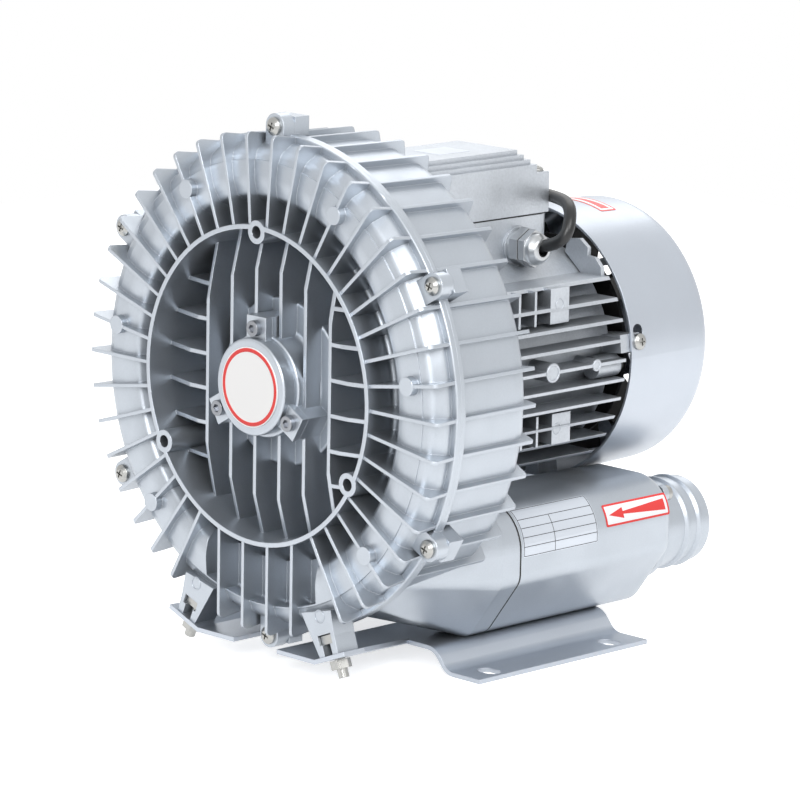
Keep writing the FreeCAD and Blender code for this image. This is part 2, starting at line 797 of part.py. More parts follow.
def rear_housing():
    wall = S.casing_wall
    shell = turned("housing_shell", [
        (19.0, S.housing_land_y),
        (S.channel_in_r + 3.0, S.housing_land_y),
        (S.channel_in_r + 3.0, S.joint_y),
        (S.rim_r, S.joint_y),
        (S.rim_r, housing_rim_y, S.rim_bead),
        (S.housing_r, housing_rim_y),
        (S.housing_r - 1.4, S.housing_rear_y, S.housing_corner_r),
        (S.channel_in_r - 2.0, S.housing_rear_y, 5.0),
        (S.housing_step_r, S.housing_plate_rear_y, 4.0),
        (S.barrel_in_r - 0.03, S.housing_plate_rear_y),
        (S.barrel_in_r - 0.03, S.housing_plate_rear_y + S.spigot_ring_length),
        (S.spigot_ring_in_r, S.housing_plate_rear_y + S.spigot_ring_length),
        (S.spigot_ring_in_r, S.housing_plate_rear_y, 2.0),
        (19.0, S.housing_plate_rear_y),
    ])
    inner_r = S.housing_r - wall / 2
    fin_zone = turned("housing_fin_zone", [
        (inner_r - 3.0, housing_rim_y - 1.0),
        (S.rear_fin_tip_r, housing_rim_y - 1.0),
        (S.rear_fin_tip_r - 1.2, S.rear_fin_end_y, 2.0),
        (S.rear_fin_tip_r - 16.5, S.rear_fin_end_y + 4.6, 1.5),
        (S.rear_fin_tip_r - 19.0, S.housing_rear_y - 2.5),
        (S.housing_r - 10.0, S.housing_rear_y - 9.0),
        (inner_r - 4.0, S.housing_rear_y - 16.0),
    ])
    plates = radial_plates("housing_fin", S.housing_r - 24.0, S.rear_fin_tip_r + 3.0,
                           S.joint_y + 1.0, S.rear_fin_end_y + 8.0, left_out=2)
    fins = shared("housing_fins", [fin_zone, gathered("housing_fin_plates", plates)])
    solids, holes = [shell, fins], []
    for side in (1, -1):
        name = "right" if side > 0 else "left"
        outline = [(c[0] * side,) + tuple(c[1:]) for c in port_outline()]
        root = [(c[0] * side,) + tuple(c[1:]) for c in neck_root()]
        collar_y = S.neck_rear_y - S.neck_collar
        solids.append(pushed("neck_collar_" + name, outline, collar_y, S.neck_collar))
        solids.append(lofted("neck_" + name, root, housing_rim_y + 4.0, outline, collar_y))
        holes.append(rod("duct_" + name, S.duct_r, S.neck_rear_y - 52.0,
                         S.port_x * side, 52.0, S.port_z))
        holes.append(rod("neck_foot_tap_" + name, S.foot_bolt_r, 9.0, S.port_x * side,
                         S.foot_screw_y, S.port_z - S.port_bottom, "z"))
        for k, angle in enumerate((45.0, 135.0)):
            x, z = polar(S.tie_screw_circle_r, angle)
            holes.append(rod("neck_tie_tap_%s_%d" % (name, k), S.tie_screw_r, 15.0,
                             S.port_x * side + x, S.neck_rear_y - 15.0, S.port_z + z))
    for k, angle in enumerate(screw_angles):
        x, z = polar(S.screw_circle_r, angle)
        solids.append(screw_lug("housing_lug_%d" % k, angle, S.joint_y, S.lug_rear_y, 5.0))
        holes.append(rod("housing_lug_hole_%d" % k, S.cover_screw_r, S.cover_screw_length,
                         x, S.lug_front_y, z))
    for k, angle in enumerate(frame_screw_angles):
        x, z = polar(S.barrel_r + S.frame_screw_out, angle)
        holes.append(rod("housing_frame_tap_%d" % k, 3.0, 6.0, x,
                         S.housing_plate_rear_y - 6.0, z))
    hollow = turned("channel_hollow", [
        (S.channel_in_r + 3.0, S.joint_y - 1.0),
        (S.channel_out_r, S.joint_y - 1.0),
        (S.channel_out_r - 1.2, S.housing_channel_y - 6.5, 6.0),
        (S.channel_out_r - 6.0, S.housing_channel_y, 6.0),
        (S.channel_in_r + 8.0, S.housing_channel_y, 6.0),
        (S.channel_in_r + 3.0, S.housing_channel_y - 7.0, 4.0),
    ])
    wheel_room = rod("wheel_room", S.channel_in_r + 3.5, S.housing_land_y - S.joint_y, 0.0,
                     S.joint_y, 0.0)
    motor_room = rod("motor_room", S.motor_fin_tip_r + 1.5,
                     S.neck_rear_y, 0.0, S.housing_plate_rear_y, 0.0)
    keep = rod("motor_register", S.barrel_in_r - 0.03, S.spigot_ring_length, 0.0,
               S.housing_plate_rear_y, 0.0)
    keep_ring = cut("motor_register_ring", keep, [
        rod("motor_register_bore", S.spigot_ring_in_r, S.spigot_ring_length, 0.0,
            S.housing_plate_rear_y, 0.0)])
    room = cut("motor_room_cut", motor_room, [keep_ring])
    body = cut("rear_housing_casting", fused("rear_housing_solid", solids),
               [hollow, wheel_room, room] + holes)
    finish("rear_housing", body)


# Cover screws, bearing cap and badge

def pan_screw(name, shank, length, head, height):
    """A pan-head cross screw: the head in front of its seat at the origin, the shank along Y."""
    solid = turned(name + "_turned", [
        (0.0, -height), (head * 0.55, -height, head * 0.4), (head, -height * 0.45, head * 0.15),
        (head, 0.0), (shank, 0.0), (shank, length - shank * 0.4), (shank * 0.6, length),
        (0.0, length),
    ])
    slots = []
    reach, width = head * 0.95, head * 0.2
    for turn in (0, 90):
        at = Rotation(SHAFT, turn)
        corner = at.multVec(Vector(-float(reach) / 2, 0, -float(width) / 2))
        slots.append(block("%s_cross_%d" % (name, turn), corner.x, -height - 0.1, corner.z,
                           reach, height * 0.55, width, at))
    return cut(name, solid, slots)


def socket_screw(name, shank, length, head, height):
    """A socket-head screw with its seat at the origin and the shank along Y."""
    solid = turned(name + "_turned", [
        (0.0, -height), (head, -height, head * 0.1), (head, 0.0), (shank, 0.0),
        (shank, length - shank * 0.4), (shank * 0.6, length), (0.0, length),
    ])
    return cut(name, solid, [hexagon(name + "_socket", head * 0.95, height * 0.6 + 0.1,
                                     0.0, -height - 0.1, 0.0)])


def hex_screw(name, shank, length, head, height):
    """A hexagon-head screw with its seat at the origin and the shank along Y."""
    stem = turned(name + "_stem", [
        (0.0, -height * 0.5), (shank, -height * 0.5), (shank, length - shank * 0.4),
        (shank * 0.6, length), (0.0, length),
    ])
    return fused(name, [stem, hexagon(name + "_head", head * 1.74, height, 0.0, -height, 0.0)])


def circle_places(radius, angles, y, turn=0.0):
    """Places on a circle about the shaft."""
    places = []
    for angle in angles:
        x, z = polar(radius, angle)
        places.append(Placement(Vector(float(x), float(y), float(z)), Rotation(SHAFT, turn)))
    return places


def cover_fittings():
    master = pan_screw("cover_screw", S.cover_screw_r - 0.04, S.cover_screw_length - 1.0,
                       S.cover_screw_head_r, S.cover_screw_head_h)
    copies("cover_screws", master, circle_places(S.screw_circle_r, screw_angles,
                                                 S.lug_front_y, 20.0))
    master = socket_screw("cap_screw", S.cap_screw_r - 0.04, S.cap_screw_length,
                          S.cap_screw_head_r, S.cap_screw_head_h)
    copies("bearing_cap_screws", master, circle_places(S.cap_lug_circle_r, third_angles,
                                                       S.cap_lug_front_y))
    disc = turned("cap_disc", [
        (0.0, S.cap_front_y), (S.cap_r, S.cap_front_y, 1.5), (S.cap_r, S.hub_front_y),
        (S.bearing_out_r - 1.5, S.hub_front_y), (S.bearing_out_r - 1.5, S.cap_front_y + 2.6),
        (0.0, S.cap_front_y + 2.6),
    ])
    solids, holes = [disc], []
    lug_length = S.hub_front_y - S.cap_lug_front_y
    for k, angle in enumerate(third_angles):
        x, z = polar(S.cap_lug_circle_r, angle)
        solids.append(square_lug("cap_lug_%d" % k, angle, S.cap_lug_front_y, S.hub_front_y))
        holes.append(rod("cap_hole_%d" % k, S.cap_screw_r + 0.2, lug_length, x,
                         S.cap_lug_front_y, z))
    room = rod("cap_room", S.bearing_out_r - 1.5, S.hub_front_y - S.cap_front_y - 2.6, 0.0,
               S.cap_front_y + 2.6, 0.0)
    finish("bearing_cap", cut("bearing_cap_casting", fused("cap_solid", solids),
                              holes + [room]))
    single("badge_plate", rod("badge", S.badge_r, S.badge_thick, 0.0,
                              S.cap_front_y - S.badge_thick, 0.0))


# Bearings

def bearing(prefix, start):
    """A deep-groove ball bearing whose front face is at a place along the shaft."""
    pitch, ball = S.bearing_pitch_r, S.ball_r
    middle = start + S.bearing_width / 2
    rings = {
        "outer": (pitch + 2.3, S.bearing_out_r - 0.01),
        "inner": (S.shaft_r + 0.01, pitch - 2.3),
    }
    for name, (inner, outer) in rings.items():
        ring = turned("%s_%s_ring" % (prefix, name), [
            (inner, start), (outer, start, 0.6), (outer, start + S.bearing_width, 0.6),
            (inner, start + S.bearing_width),
        ])
        groove = doc.addObject("Part::Torus", "%s_%s_groove" % (prefix, name))
        bind(groove, "Radius1", pitch)
        bind(groove, "Radius2", ball + S.ball_clear)
        put(groove, 0.0, middle, 0.0, ALONG["y"])
        finish("%s_bearing_%s_ring" % (prefix, name),
               cut("%s_%s_race" % (prefix, name), ring, [groove]))
    count = int(float(S.ball_count))
    angles = [360.0 * k / count for k in range(count)]
    reach = S.cage_reach
    cage = turned(prefix + "_cage_ring", [
        (pitch - reach, middle - 4.6), (pitch + reach, middle - 4.6),
        (pitch + reach, middle + 4.6), (pitch - reach, middle + 4.6),
    ])
    pockets = []
    for k, angle in enumerate(angles):
        x, z = polar(pitch - 3.0, angle)
        pockets.append(rod("%s_pocket_%d" % (prefix, k), ball + 0.05, 6.0, x, middle, z,
                           turn=radial(angle)))
    finish(prefix + "_bearing_cage", cut(prefix + "_cage", cage,
                                         [gathered(prefix + "_pockets", pockets)]))
    master = doc.addObject("Part::Sphere", prefix + "_ball")
    bind(master, "Radius", ball)
    copies(prefix + "_bearing_balls", master, circle_places(pitch, angles, middle))


# Rotor and impeller

def rotor():
    mid, thin = S.shaft_mid_r, S.shaft_r
    shoulder = S.impeller_rear_y + 14.0
    fan_end = S.fan_rear_y + 3.5
    bar = turned("shaft_bar", [
        (0.0, shaft_front_y), (thin, shaft_front_y, 1.0), (thin, shoulder), (mid, shoulder),
        (mid, S.rear_bearing_y), (thin, S.rear_bearing_y),
        (thin, S.rear_bearing_y + S.bearing_width + 3.0),
        (thin - 1.0, S.rear_bearing_y + S.bearing_width + 3.0), (thin - 1.0, fan_end, 1.0),
        (0.0, fan_end),
    ])
    web_y = floor_back_y + S.impeller_clear
    key_y, key_length = web_y + 3.0, 16.0
    seat = block("key_seat", -3.02, key_y - 0.02, thin - 3.5, 6.04, key_length + 0.04, 4.0)
    finish("shaft", cut("shaft_turned", bar, [seat]))
    single("impeller_key", block("key", -3.0, key_y, thin - 3.48, 6.0, key_length, 6.0))
    spacer_y = S.front_bearing_y + S.bearing_width
    single_turned("spacer_sleeve", [
        (thin + 0.02, spacer_y), (thin + 3.0, spacer_y), (thin + 3.0, web_y),
        (thin + 0.02, web_y),
    ])
    middle = (S.impeller_front_y + S.impeller_rear_y) / 2
    land = S.channel_in_r + 2.6
    cup = turned("impeller_cup", [
        (thin + 0.02, web_y), (S.impeller_cup_r, web_y, 2.0),
        (S.impeller_cup_r, S.impeller_front_y), (land, S.impeller_front_y),
        (land + 7.0, middle - 1.6, 5.0), (S.impeller_out_r - 1.0, middle - 1.0),
        (S.impeller_out_r - 1.0, middle + 1.0), (land + 7.0, middle + 1.6, 5.0),
        (land, S.impeller_rear_y), (S.impeller_cup_r - 3.0, S.impeller_rear_y),
        (S.impeller_cup_r - 6.0, web_y + 4.0), (28.0, web_y + 4.0),
        (thin + 7.4, web_y + 10.0), (thin + 7.4, shoulder), (thin + 0.02, shoulder),
    ])
    blades = []
    count = int(float(S.blade_count))
    for k in range(count):
        angle = 360.0 * k / count
        theta = Dim(angle, "(%d * 360 / Sizes.blade_count)" % k)
        inner, half = land - 1.0, S.blade_thick / 2
        blade = block("blade_%d" % k, inner * cosine(theta) + half * sine(theta),
                      S.impeller_front_y, inner * sine(theta) - half * cosine(theta),
                      S.impeller_out_r - inner, S.impeller_rear_y - S.impeller_front_y,
                      S.blade_thick, about_shaft(angle))
        blade.setExpression("Placement.Rotation.Axis.y", "-1")
        blade.setExpression("Placement.Rotation.Angle", theta.text + " * 1 deg")
        blades.append(blade)
    way = block("key_way", -3.02, web_y - 1.0, thin - 3.5, 6.04, 40.0, 6.1)
    wheel = fused("impeller_wheel", [cup, gathered("impeller_blades", blades)])
    finish("impeller", cut("impeller_casting", wheel, [way]))
    start, end = S.core_front_y, S.core_front_y + S.core_length
    core = turned("rotor_stack", [
        (mid + 0.01, start), (S.rotor_r, start), (S.rotor_r, end), (mid + 0.01, end),
    ])
    bars, holes = [], []
    for k in range(18):
        x, z = polar(S.rotor_r - 4.4, 20.0 * k)
        bars.append(rod("rotor_bar_%d" % k, 2.2, S.core_length + 4.0, x, start - 2.0, z))
        holes.append(rod("rotor_bar_hole_%d" % k, 2.22, S.core_length, x, start, z))
    finish("rotor_core", cut("rotor_core_stack", core, [gathered("rotor_bar_holes", holes)]))
    ends = []
    for name, near, far in (("front", start - 0.02, start - 7.0), ("rear", end + 0.02, end + 7.0)):
        ends.append(turned("rotor_end_ring_" + name, [
            (S.rotor_r - 12.0, near), (S.rotor_r - 1.5, near), (S.rotor_r - 1.5, far),
            (S.rotor_r - 12.0, far),
        ]))
    finish("rotor_cage", fused("rotor_cage_cast", ends + bars))


def single_turned(node, corners):
    finish(node, turned(node + "_turned", corners))


def stator():
    start, end = S.core_front_y, S.core_front_y + S.core_length
    bore = S.rotor_r + S.air_gap
    stack = turned("stator_stack", [
        (bore, start), (S.barrel_in_r - 0.02, start), (S.barrel_in_r - 0.02, end), (bore, end),
    ])
    slots, bars = [], []
    for k in range(24):
        angle = 15.0 * k
        for tool, inner, outer, width, front, rear, into in (
                ("slot", bore + 2.0, bore + 15.0, 5.0, start, end, slots),
                ("slot_mouth", bore - 1.0, bore + 2.5, 2.0, start, end, slots),
                ("coil_side", bore + 2.4, bore + 14.6, 4.4, start - 3.0, end + 3.0, bars)):
            into.append(block("%s_%d" % (tool, k),
                              inner * cosine(angle) + width / 2 * math.sin(math.radians(angle)),
                              front,
                              inner * sine(angle) - width / 2 * math.cos(math.radians(angle)),
                              outer - inner, rear - front, width, about_shaft(angle)))
    finish("stator_core", cut("stator_core_stack", stack, slots))
    ends = []
    for name, near, far in (("front", start - 0.8, start - S.coil_reach),
                            ("rear", end + 0.8, end + S.coil_reach)):
        ends.append(turned("coil_end_" + name, [
            (bore + 2.0, near), (bore + 19.0, near, 3.0), (bore + 19.0, far, 5.0),
            (bore + 2.0, far, 5.0),
        ]))
    finish("stator_winding", fused("stator_winding_wound", ends + bars))


# Motor frame with the base of the terminal box, end shield and cowl

frame_screw_angles = [45.0, 135.0, 225.0, 315.0]
shield_screw_angles = [-3.0, 90.0, 183.0, 264.0]
cowl_screw_angles = [6.8, 173.2, 278.0]
lid_screw_front_y = S.box_front_y + 6.5
lid_screw_rear_y = S.box_rear_y + 1.0
lid_screw_x = S.box_half - 5.5


def motor_frame():
    front = S.housing_plate_rear_y
    barrel = turned("frame_barrel", [
        (S.barrel_in_r, front), (S.motor_fin_tip_r + 0.4, front),
        (S.motor_fin_tip_r + 0.4, front + 6.0), (S.barrel_r + 1.0, front + 6.0, 2.0),
        (S.barrel_r, S.barrel_rear_y), (S.barrel_in_r, S.barrel_rear_y),
    ])
    fin_zone = turned("frame_fin_zone", [
        (S.barrel_r - 2.0, front + 10.0), (S.motor_fin_tip_r, front + 14.0),
        (S.motor_fin_tip_r, S.motor_fin_rear_y), (S.barrel_r + 0.8, S.motor_fin_rear_y),
        (S.barrel_r + 0.8, S.barrel_rear_y - 0.5), (S.barrel_r - 2.0, S.barrel_rear_y - 0.5),
    ])
    plates = []
    for k in range(-5, 5):
        plates.append(block("frame_fin_%d" % (k + 5), -S.motor_fin_tip_r - 2.0, front + 6.0,
                            S.motor_fin_pitch * k - S.motor_fin_thick / 2,
                            S.motor_fin_tip_r * 2 + 4.0, S.motor_fin_rear_y - front,
                            S.motor_fin_thick))
    fins = shared("frame_fins", [fin_zone, gathered("frame_fin_plates", plates)])
    solids = [barrel, fins]
    solids.append(block("box_base", -S.box_half, S.box_front_y, S.box_low_z, S.box_half * 2,
                        S.box_rear_y - S.box_front_y, S.box_top_z - S.box_low_z))
    holes = [block("box_room", -S.box_half + S.box_wall, S.box_front_y + S.box_wall,
                   S.box_floor_z, (S.box_half - S.box_wall) * 2,
                   S.box_rear_y - S.box_front_y - S.box_wall * 2, S.box_top_z - S.box_floor_z)]
    posts, taps = [], []
    for side in (1, -1):
        for name, y in (("front", lid_screw_front_y), ("rear", lid_screw_rear_y)):
            tag = "%s_%s" % (name, "right" if side > 0 else "left")
            posts.append(rod("box_post_" + tag, S.box_wall + 1.4, S.box_top_z - S.box_low_z,
                             lid_screw_x * side, y, S.box_low_z, "z"))
            taps.append(rod("box_tap_" + tag, 2.0, 9.0, lid_screw_x * side, y,
                            S.box_top_z - 9.0, "z"))
    for side in (1, -1):
        far = S.pad_x if side > 0 else -S.pad_x
        near = 50.0 * side
        name = "right" if side > 0 else "left"
        low, span = (near, far - near) if side > 0 else (far, near - far)
        for tag, y, z, height in (("upper", S.pad_y - S.pad_width / 2, 25.0, 19.5),
                                  ("lower", S.pad_y - S.pad_width / 2 + 3.2, -42.0, 17.0)):
            solids.append(block("pad_%s_%s" % (tag, name), low, y, z, span, S.pad_width, height))
            for k in (1, 2):
                solids.append(block("cell_%s_%s_%d" % (tag, name, k), low, y - 12.4 * k, z,
                                    span, 1.6, height))
        for tag, radius, y in (("large", 5.4, 138.9), ("small", 3.4, 173.6)):
            solids.append(rod("frame_boss_%s_%s" % (tag, name), radius, 18.0,
                              (S.motor_fin_tip_r - 18.0) * side, y, 0.0,
                              "x" if side > 0 else "-x"))
        for tag, corners in (("inner", ((31.0, 55.0), (43.6, 44.4), (48.0, 44.4),
                                        (48.2, 59.2), (42.0, 63.6), (33.0, 62.4))),
                             ("outer", ((47.6, 44.4), (58.8, 44.4), (58.4, 49.4),
                                        (54.0, 54.2), (47.6, 54.8)))):
            solids.append(pushed("frame_tab_%s_%s" % (tag, name),
                                 [(x * side, z) for x, z in corners],
                                 S.motor_fin_rear_y - 2.6, 2.6))
    for k, angle in enumerate(shield_screw_angles):
        x, z = polar(S.barrel_r + S.shield_lug_out, angle)
        solids.append(rod("shield_boss_%d" % k, 6.4, S.shield_boss_length, x,
                          S.barrel_rear_y - S.shield_boss_length, z))
        taps.append(rod("shield_tap_%d" % k, 2.5, S.shield_boss_length - 1.5, x,
                        S.barrel_rear_y - S.shield_boss_length + 1.5, z))
        taps.append(rod("shield_lug_room_%d" % k, 6.9, 8.0, x, S.barrel_rear_y, z))
    taps += cowl_posts("cowl_post_room", 0.5, S.barrel_r + 0.3, S.motor_fin_tip_r + 2.0)
    for k, angle in enumerate(frame_screw_angles):
        x, z = polar(S.barrel_r + S.frame_screw_out, angle)
        taps.append(rod("frame_hole_%d" % k, 3.2, 6.0, x, front, z))
    solids.append(rod("gland_ring", S.gland_ring_r, 1.4, S.box_half, S.gland_y, S.gland_z, "x"))
    taps.append(rod("gland_hole", S.gland_thread_r, 8.0, S.box_half - S.box_wall, S.gland_y,
                    S.gland_z, "x"))
    taps.append(rod("gland_relief", S.gland_flats / 2 + 2.0, 34.0, S.box_half + 1.4, S.gland_y,
                    S.gland_z, "x"))
    taps.append(block("gland_pocket", S.box_half - S.box_wall - 10.0, S.gland_y - 9.0,
                      S.gland_z - 5.0, 10.0, 18.0, S.box_floor_z - S.gland_z + 6.0))
    bore = rod("frame_bore", S.barrel_in_r, S.barrel_rear_y - front, 0.0, front, 0.0)
    hollow = cut("frame_hollowed", fused("frame_solid", solids), holes)
    whole = fused("frame_with_posts", [hollow] + posts)
    finish("motor_frame", cut("motor_frame_casting", whole, taps + [bore]))
    master = socket_screw("frame_screw", 2.96, 11.0, 4.8, 5.0)
    copies("motor_frame_screws", flipped("frame_screw_flipped", master),
           circle_places(S.barrel_r + S.frame_screw_out, frame_screw_angles, front + 6.0))


def flipped(name, master):
    """The same screw pushed in from behind."""
    made = doc.addObject("Part::Mirroring", name)
    made.Source = master
    made.Base = Vector(0, 0, 0)
    made.Normal = SHAFT
    return made


def cowl_posts(name, slack, inner, outer):
    """The posts of the end shield that the cowl screws go into, or the room they need."""
    half = S.cowl_post_half + slack
    posts = []
    for k, angle in enumerate(cowl_screw_angles):
        posts.append(block("%s_%d" % (name, k), inner * cosine(angle) + half * sine(angle),
                           S.barrel_rear_y + 3.0 - slack,
                           inner * sine(angle) - half * cosine(angle), outer - inner,
                           15.0 + slack * 2, half * 2, about_shaft(angle)))
    return posts


def end_shield():
    rear = S.barrel_rear_y + 6.0
    seat = S.bearing_out_r
    disc = turned("shield_disc", [
        (12.0, rear), (S.barrel_r, rear), (S.barrel_r, S.barrel_rear_y),
        (S.barrel_in_r - 0.03, S.barrel_rear_y), (S.barrel_in_r - 0.03, S.barrel_rear_y - 5.0),
        (S.barrel_in_r - 5.0, S.barrel_rear_y - 5.0), (S.barrel_in_r - 5.0, rear - 4.0),
        (seat + 5.0, rear - 4.0), (seat + 5.0, S.rear_bearing_y - 1.0),
        (seat, S.rear_bearing_y - 1.0), (seat, S.rear_bearing_y + S.bearing_width),
        (12.0, S.rear_bearing_y + S.bearing_width),
    ])
    solids, holes = [disc], []
    for k, angle in enumerate(shield_screw_angles):
        x, z = polar(S.barrel_r + S.shield_lug_out, angle)
        solids.append(rod("shield_lug_%d" % k, 6.4, 6.0, x, S.barrel_rear_y, z))
        holes.append(rod("shield_hole_%d" % k, 2.7, 6.0, x, S.barrel_rear_y, z))
    reach = S.cowl_front_r - S.cowl_wall - 0.25
    solids += cowl_posts("cowl_post", 0.0, S.barrel_r - 8.0, reach)
    for k, angle in enumerate(cowl_screw_angles):
        inner = reach - 12.0
        holes.append(rod("cowl_tap_%d" % k, 2.4, 12.4, inner * cosine(angle), cowl_screw_y,
                         inner * sine(angle), turn=radial(angle)))
    solids.append(turned("shield_rim", [
        (S.barrel_r - 8.0, rear - 3.0), (S.barrel_r - 0.5, rear - 3.0),
        (S.barrel_r - 0.5, rear + 3.0), (S.barrel_r - 8.0, rear + 3.0)]))
    trim = turned("shield_trim", [
        (S.barrel_r + 0.2, S.barrel_rear_y - 0.5), (S.motor_fin_tip_r + 6.0,
         S.barrel_rear_y - 0.5), (S.motor_fin_tip_r + 6.0, S.barrel_rear_y),
        (S.barrel_r + 0.2, S.barrel_rear_y)])
    finish("rear_end_shield", cut("end_shield_casting", fused("end_shield_solid", solids),
                                  holes + [trim]))
    master = socket_screw("shield_screw", 2.46, S.shield_boss_length + 4.0, 4.2, 4.0)
    copies("end_shield_screws", flipped("shield_screw_flipped", master),
           circle_places(S.barrel_r + S.shield_lug_out, shield_screw_angles, rear))


cowl_screw_y = S.cowl_front_y + 6.0


def radial(angle):
    """A turn that takes Z outwards along a radius about the shaft."""
    return about_shaft(angle).multiply(ALONG["x"])


def cowl():
    front, rear = S.cowl_front_y, S.cowl_rear_y
    wall = S.cowl_wall
    shell = turned("cowl_shell", [
        (S.cowl_front_r - wall, front), (S.cowl_front_r, front),
        (S.cowl_rear_r, rear, S.cowl_corner_r), (14.0, rear), (14.0, rear - wall),
        (S.cowl_rear_r - wall, rear - wall, S.cowl_corner_r - wall),
    ])
    solids = [shell, rod("cowl_centre", 15.0, wall, 0.0, rear - wall, 0.0)]
    rings = []
    for k in range(4):
        inner = 19.0 + 10.0 * k
        rings.append(turned("grille_ring_%d" % k, [
            (inner, rear - wall - 1.0), (inner + 5.5, rear - wall - 1.0),
            (inner + 5.5, rear + 1.0), (inner, rear + 1.0)]))
    spokes = []
    for k in range(3):
        spokes.append(block("grille_spoke_%d" % k, -62.0 * math.cos(math.radians(60.0 * k))
                            + 2.5 * math.sin(math.radians(60.0 * k)), rear - wall - 2.0,
                            -62.0 * math.sin(math.radians(60.0 * k))
                            - 2.5 * math.cos(math.radians(60.0 * k)),
                            124.0, wall + 4.0, 5.0, about_shaft(60.0 * k)))
    grille = cut("grille_slots", gathered("grille_rings", rings), spokes)
    holes = [grille]
    for k, angle in enumerate(cowl_screw_angles):
        inner = S.barrel_r
        for tag, radius, turn in (("", 2.7, 0.0), ("_key", 4.0, 4.4)):
            holes.append(rod("cowl_hole%s_%d" % (tag, k), radius, 20.0,
                             inner * cosine(angle + turn), cowl_screw_y,
                             inner * sine(angle + turn), turn=radial(angle + turn)))
    finish("fan_cowl", cut("fan_cowl_drawn", fused("cowl_solid", solids), holes))
    master = pan_screw("cowl_screw", 2.36, 11.0, 4.6, 2.6)
    places = []
    for angle in cowl_screw_angles:
        out = float(S.cowl_front_r) + 0.02
        x, z = out * math.cos(math.radians(angle)), out * math.sin(math.radians(angle))
        face = about_shaft(angle).multiply(Rotation(Vector(0, 0, 1), 90))
        places.append(Placement(Vector(x, float(cowl_screw_y), z), face))
    copies("cowl_screws", master, places)


def fan():
    front, rear = S.fan_front_y, S.fan_rear_y
    bore = S.shaft_r - 0.98
    hub = turned("fan_hub", [
        (bore, front), (S.fan_r - 8.0, front), (S.fan_r - 8.0, front + 2.5),
        (17.0, front + 2.5, 2.0), (16.0, rear - 2.0), (bore, rear - 2.0)])
    blades = []
    count = int(float(S.fan_blades))
    for k in range(count):
        angle = Dim(360.0 * k / count, "(%d * 360 / Sizes.fan_blades)" % k)
        blades.append(block("fan_blade_%d" % k, 14.0 * cosine(angle), front + 0.5,
                            14.0 * sine(angle), S.fan_r - 14.0, rear - front - 4.0, 2.0,
                            about_shaft(float(angle))))
    finish("cooling_fan", fused("cooling_fan_moulding", [hub] + blades))
    single_turned("fan_clip", [
        (bore, rear - 1.9), (bore + 3.0, rear - 1.9), (bore + 3.0, rear - 0.7),
        (bore, rear - 0.7)])


# Terminal box lid, gland and what is inside

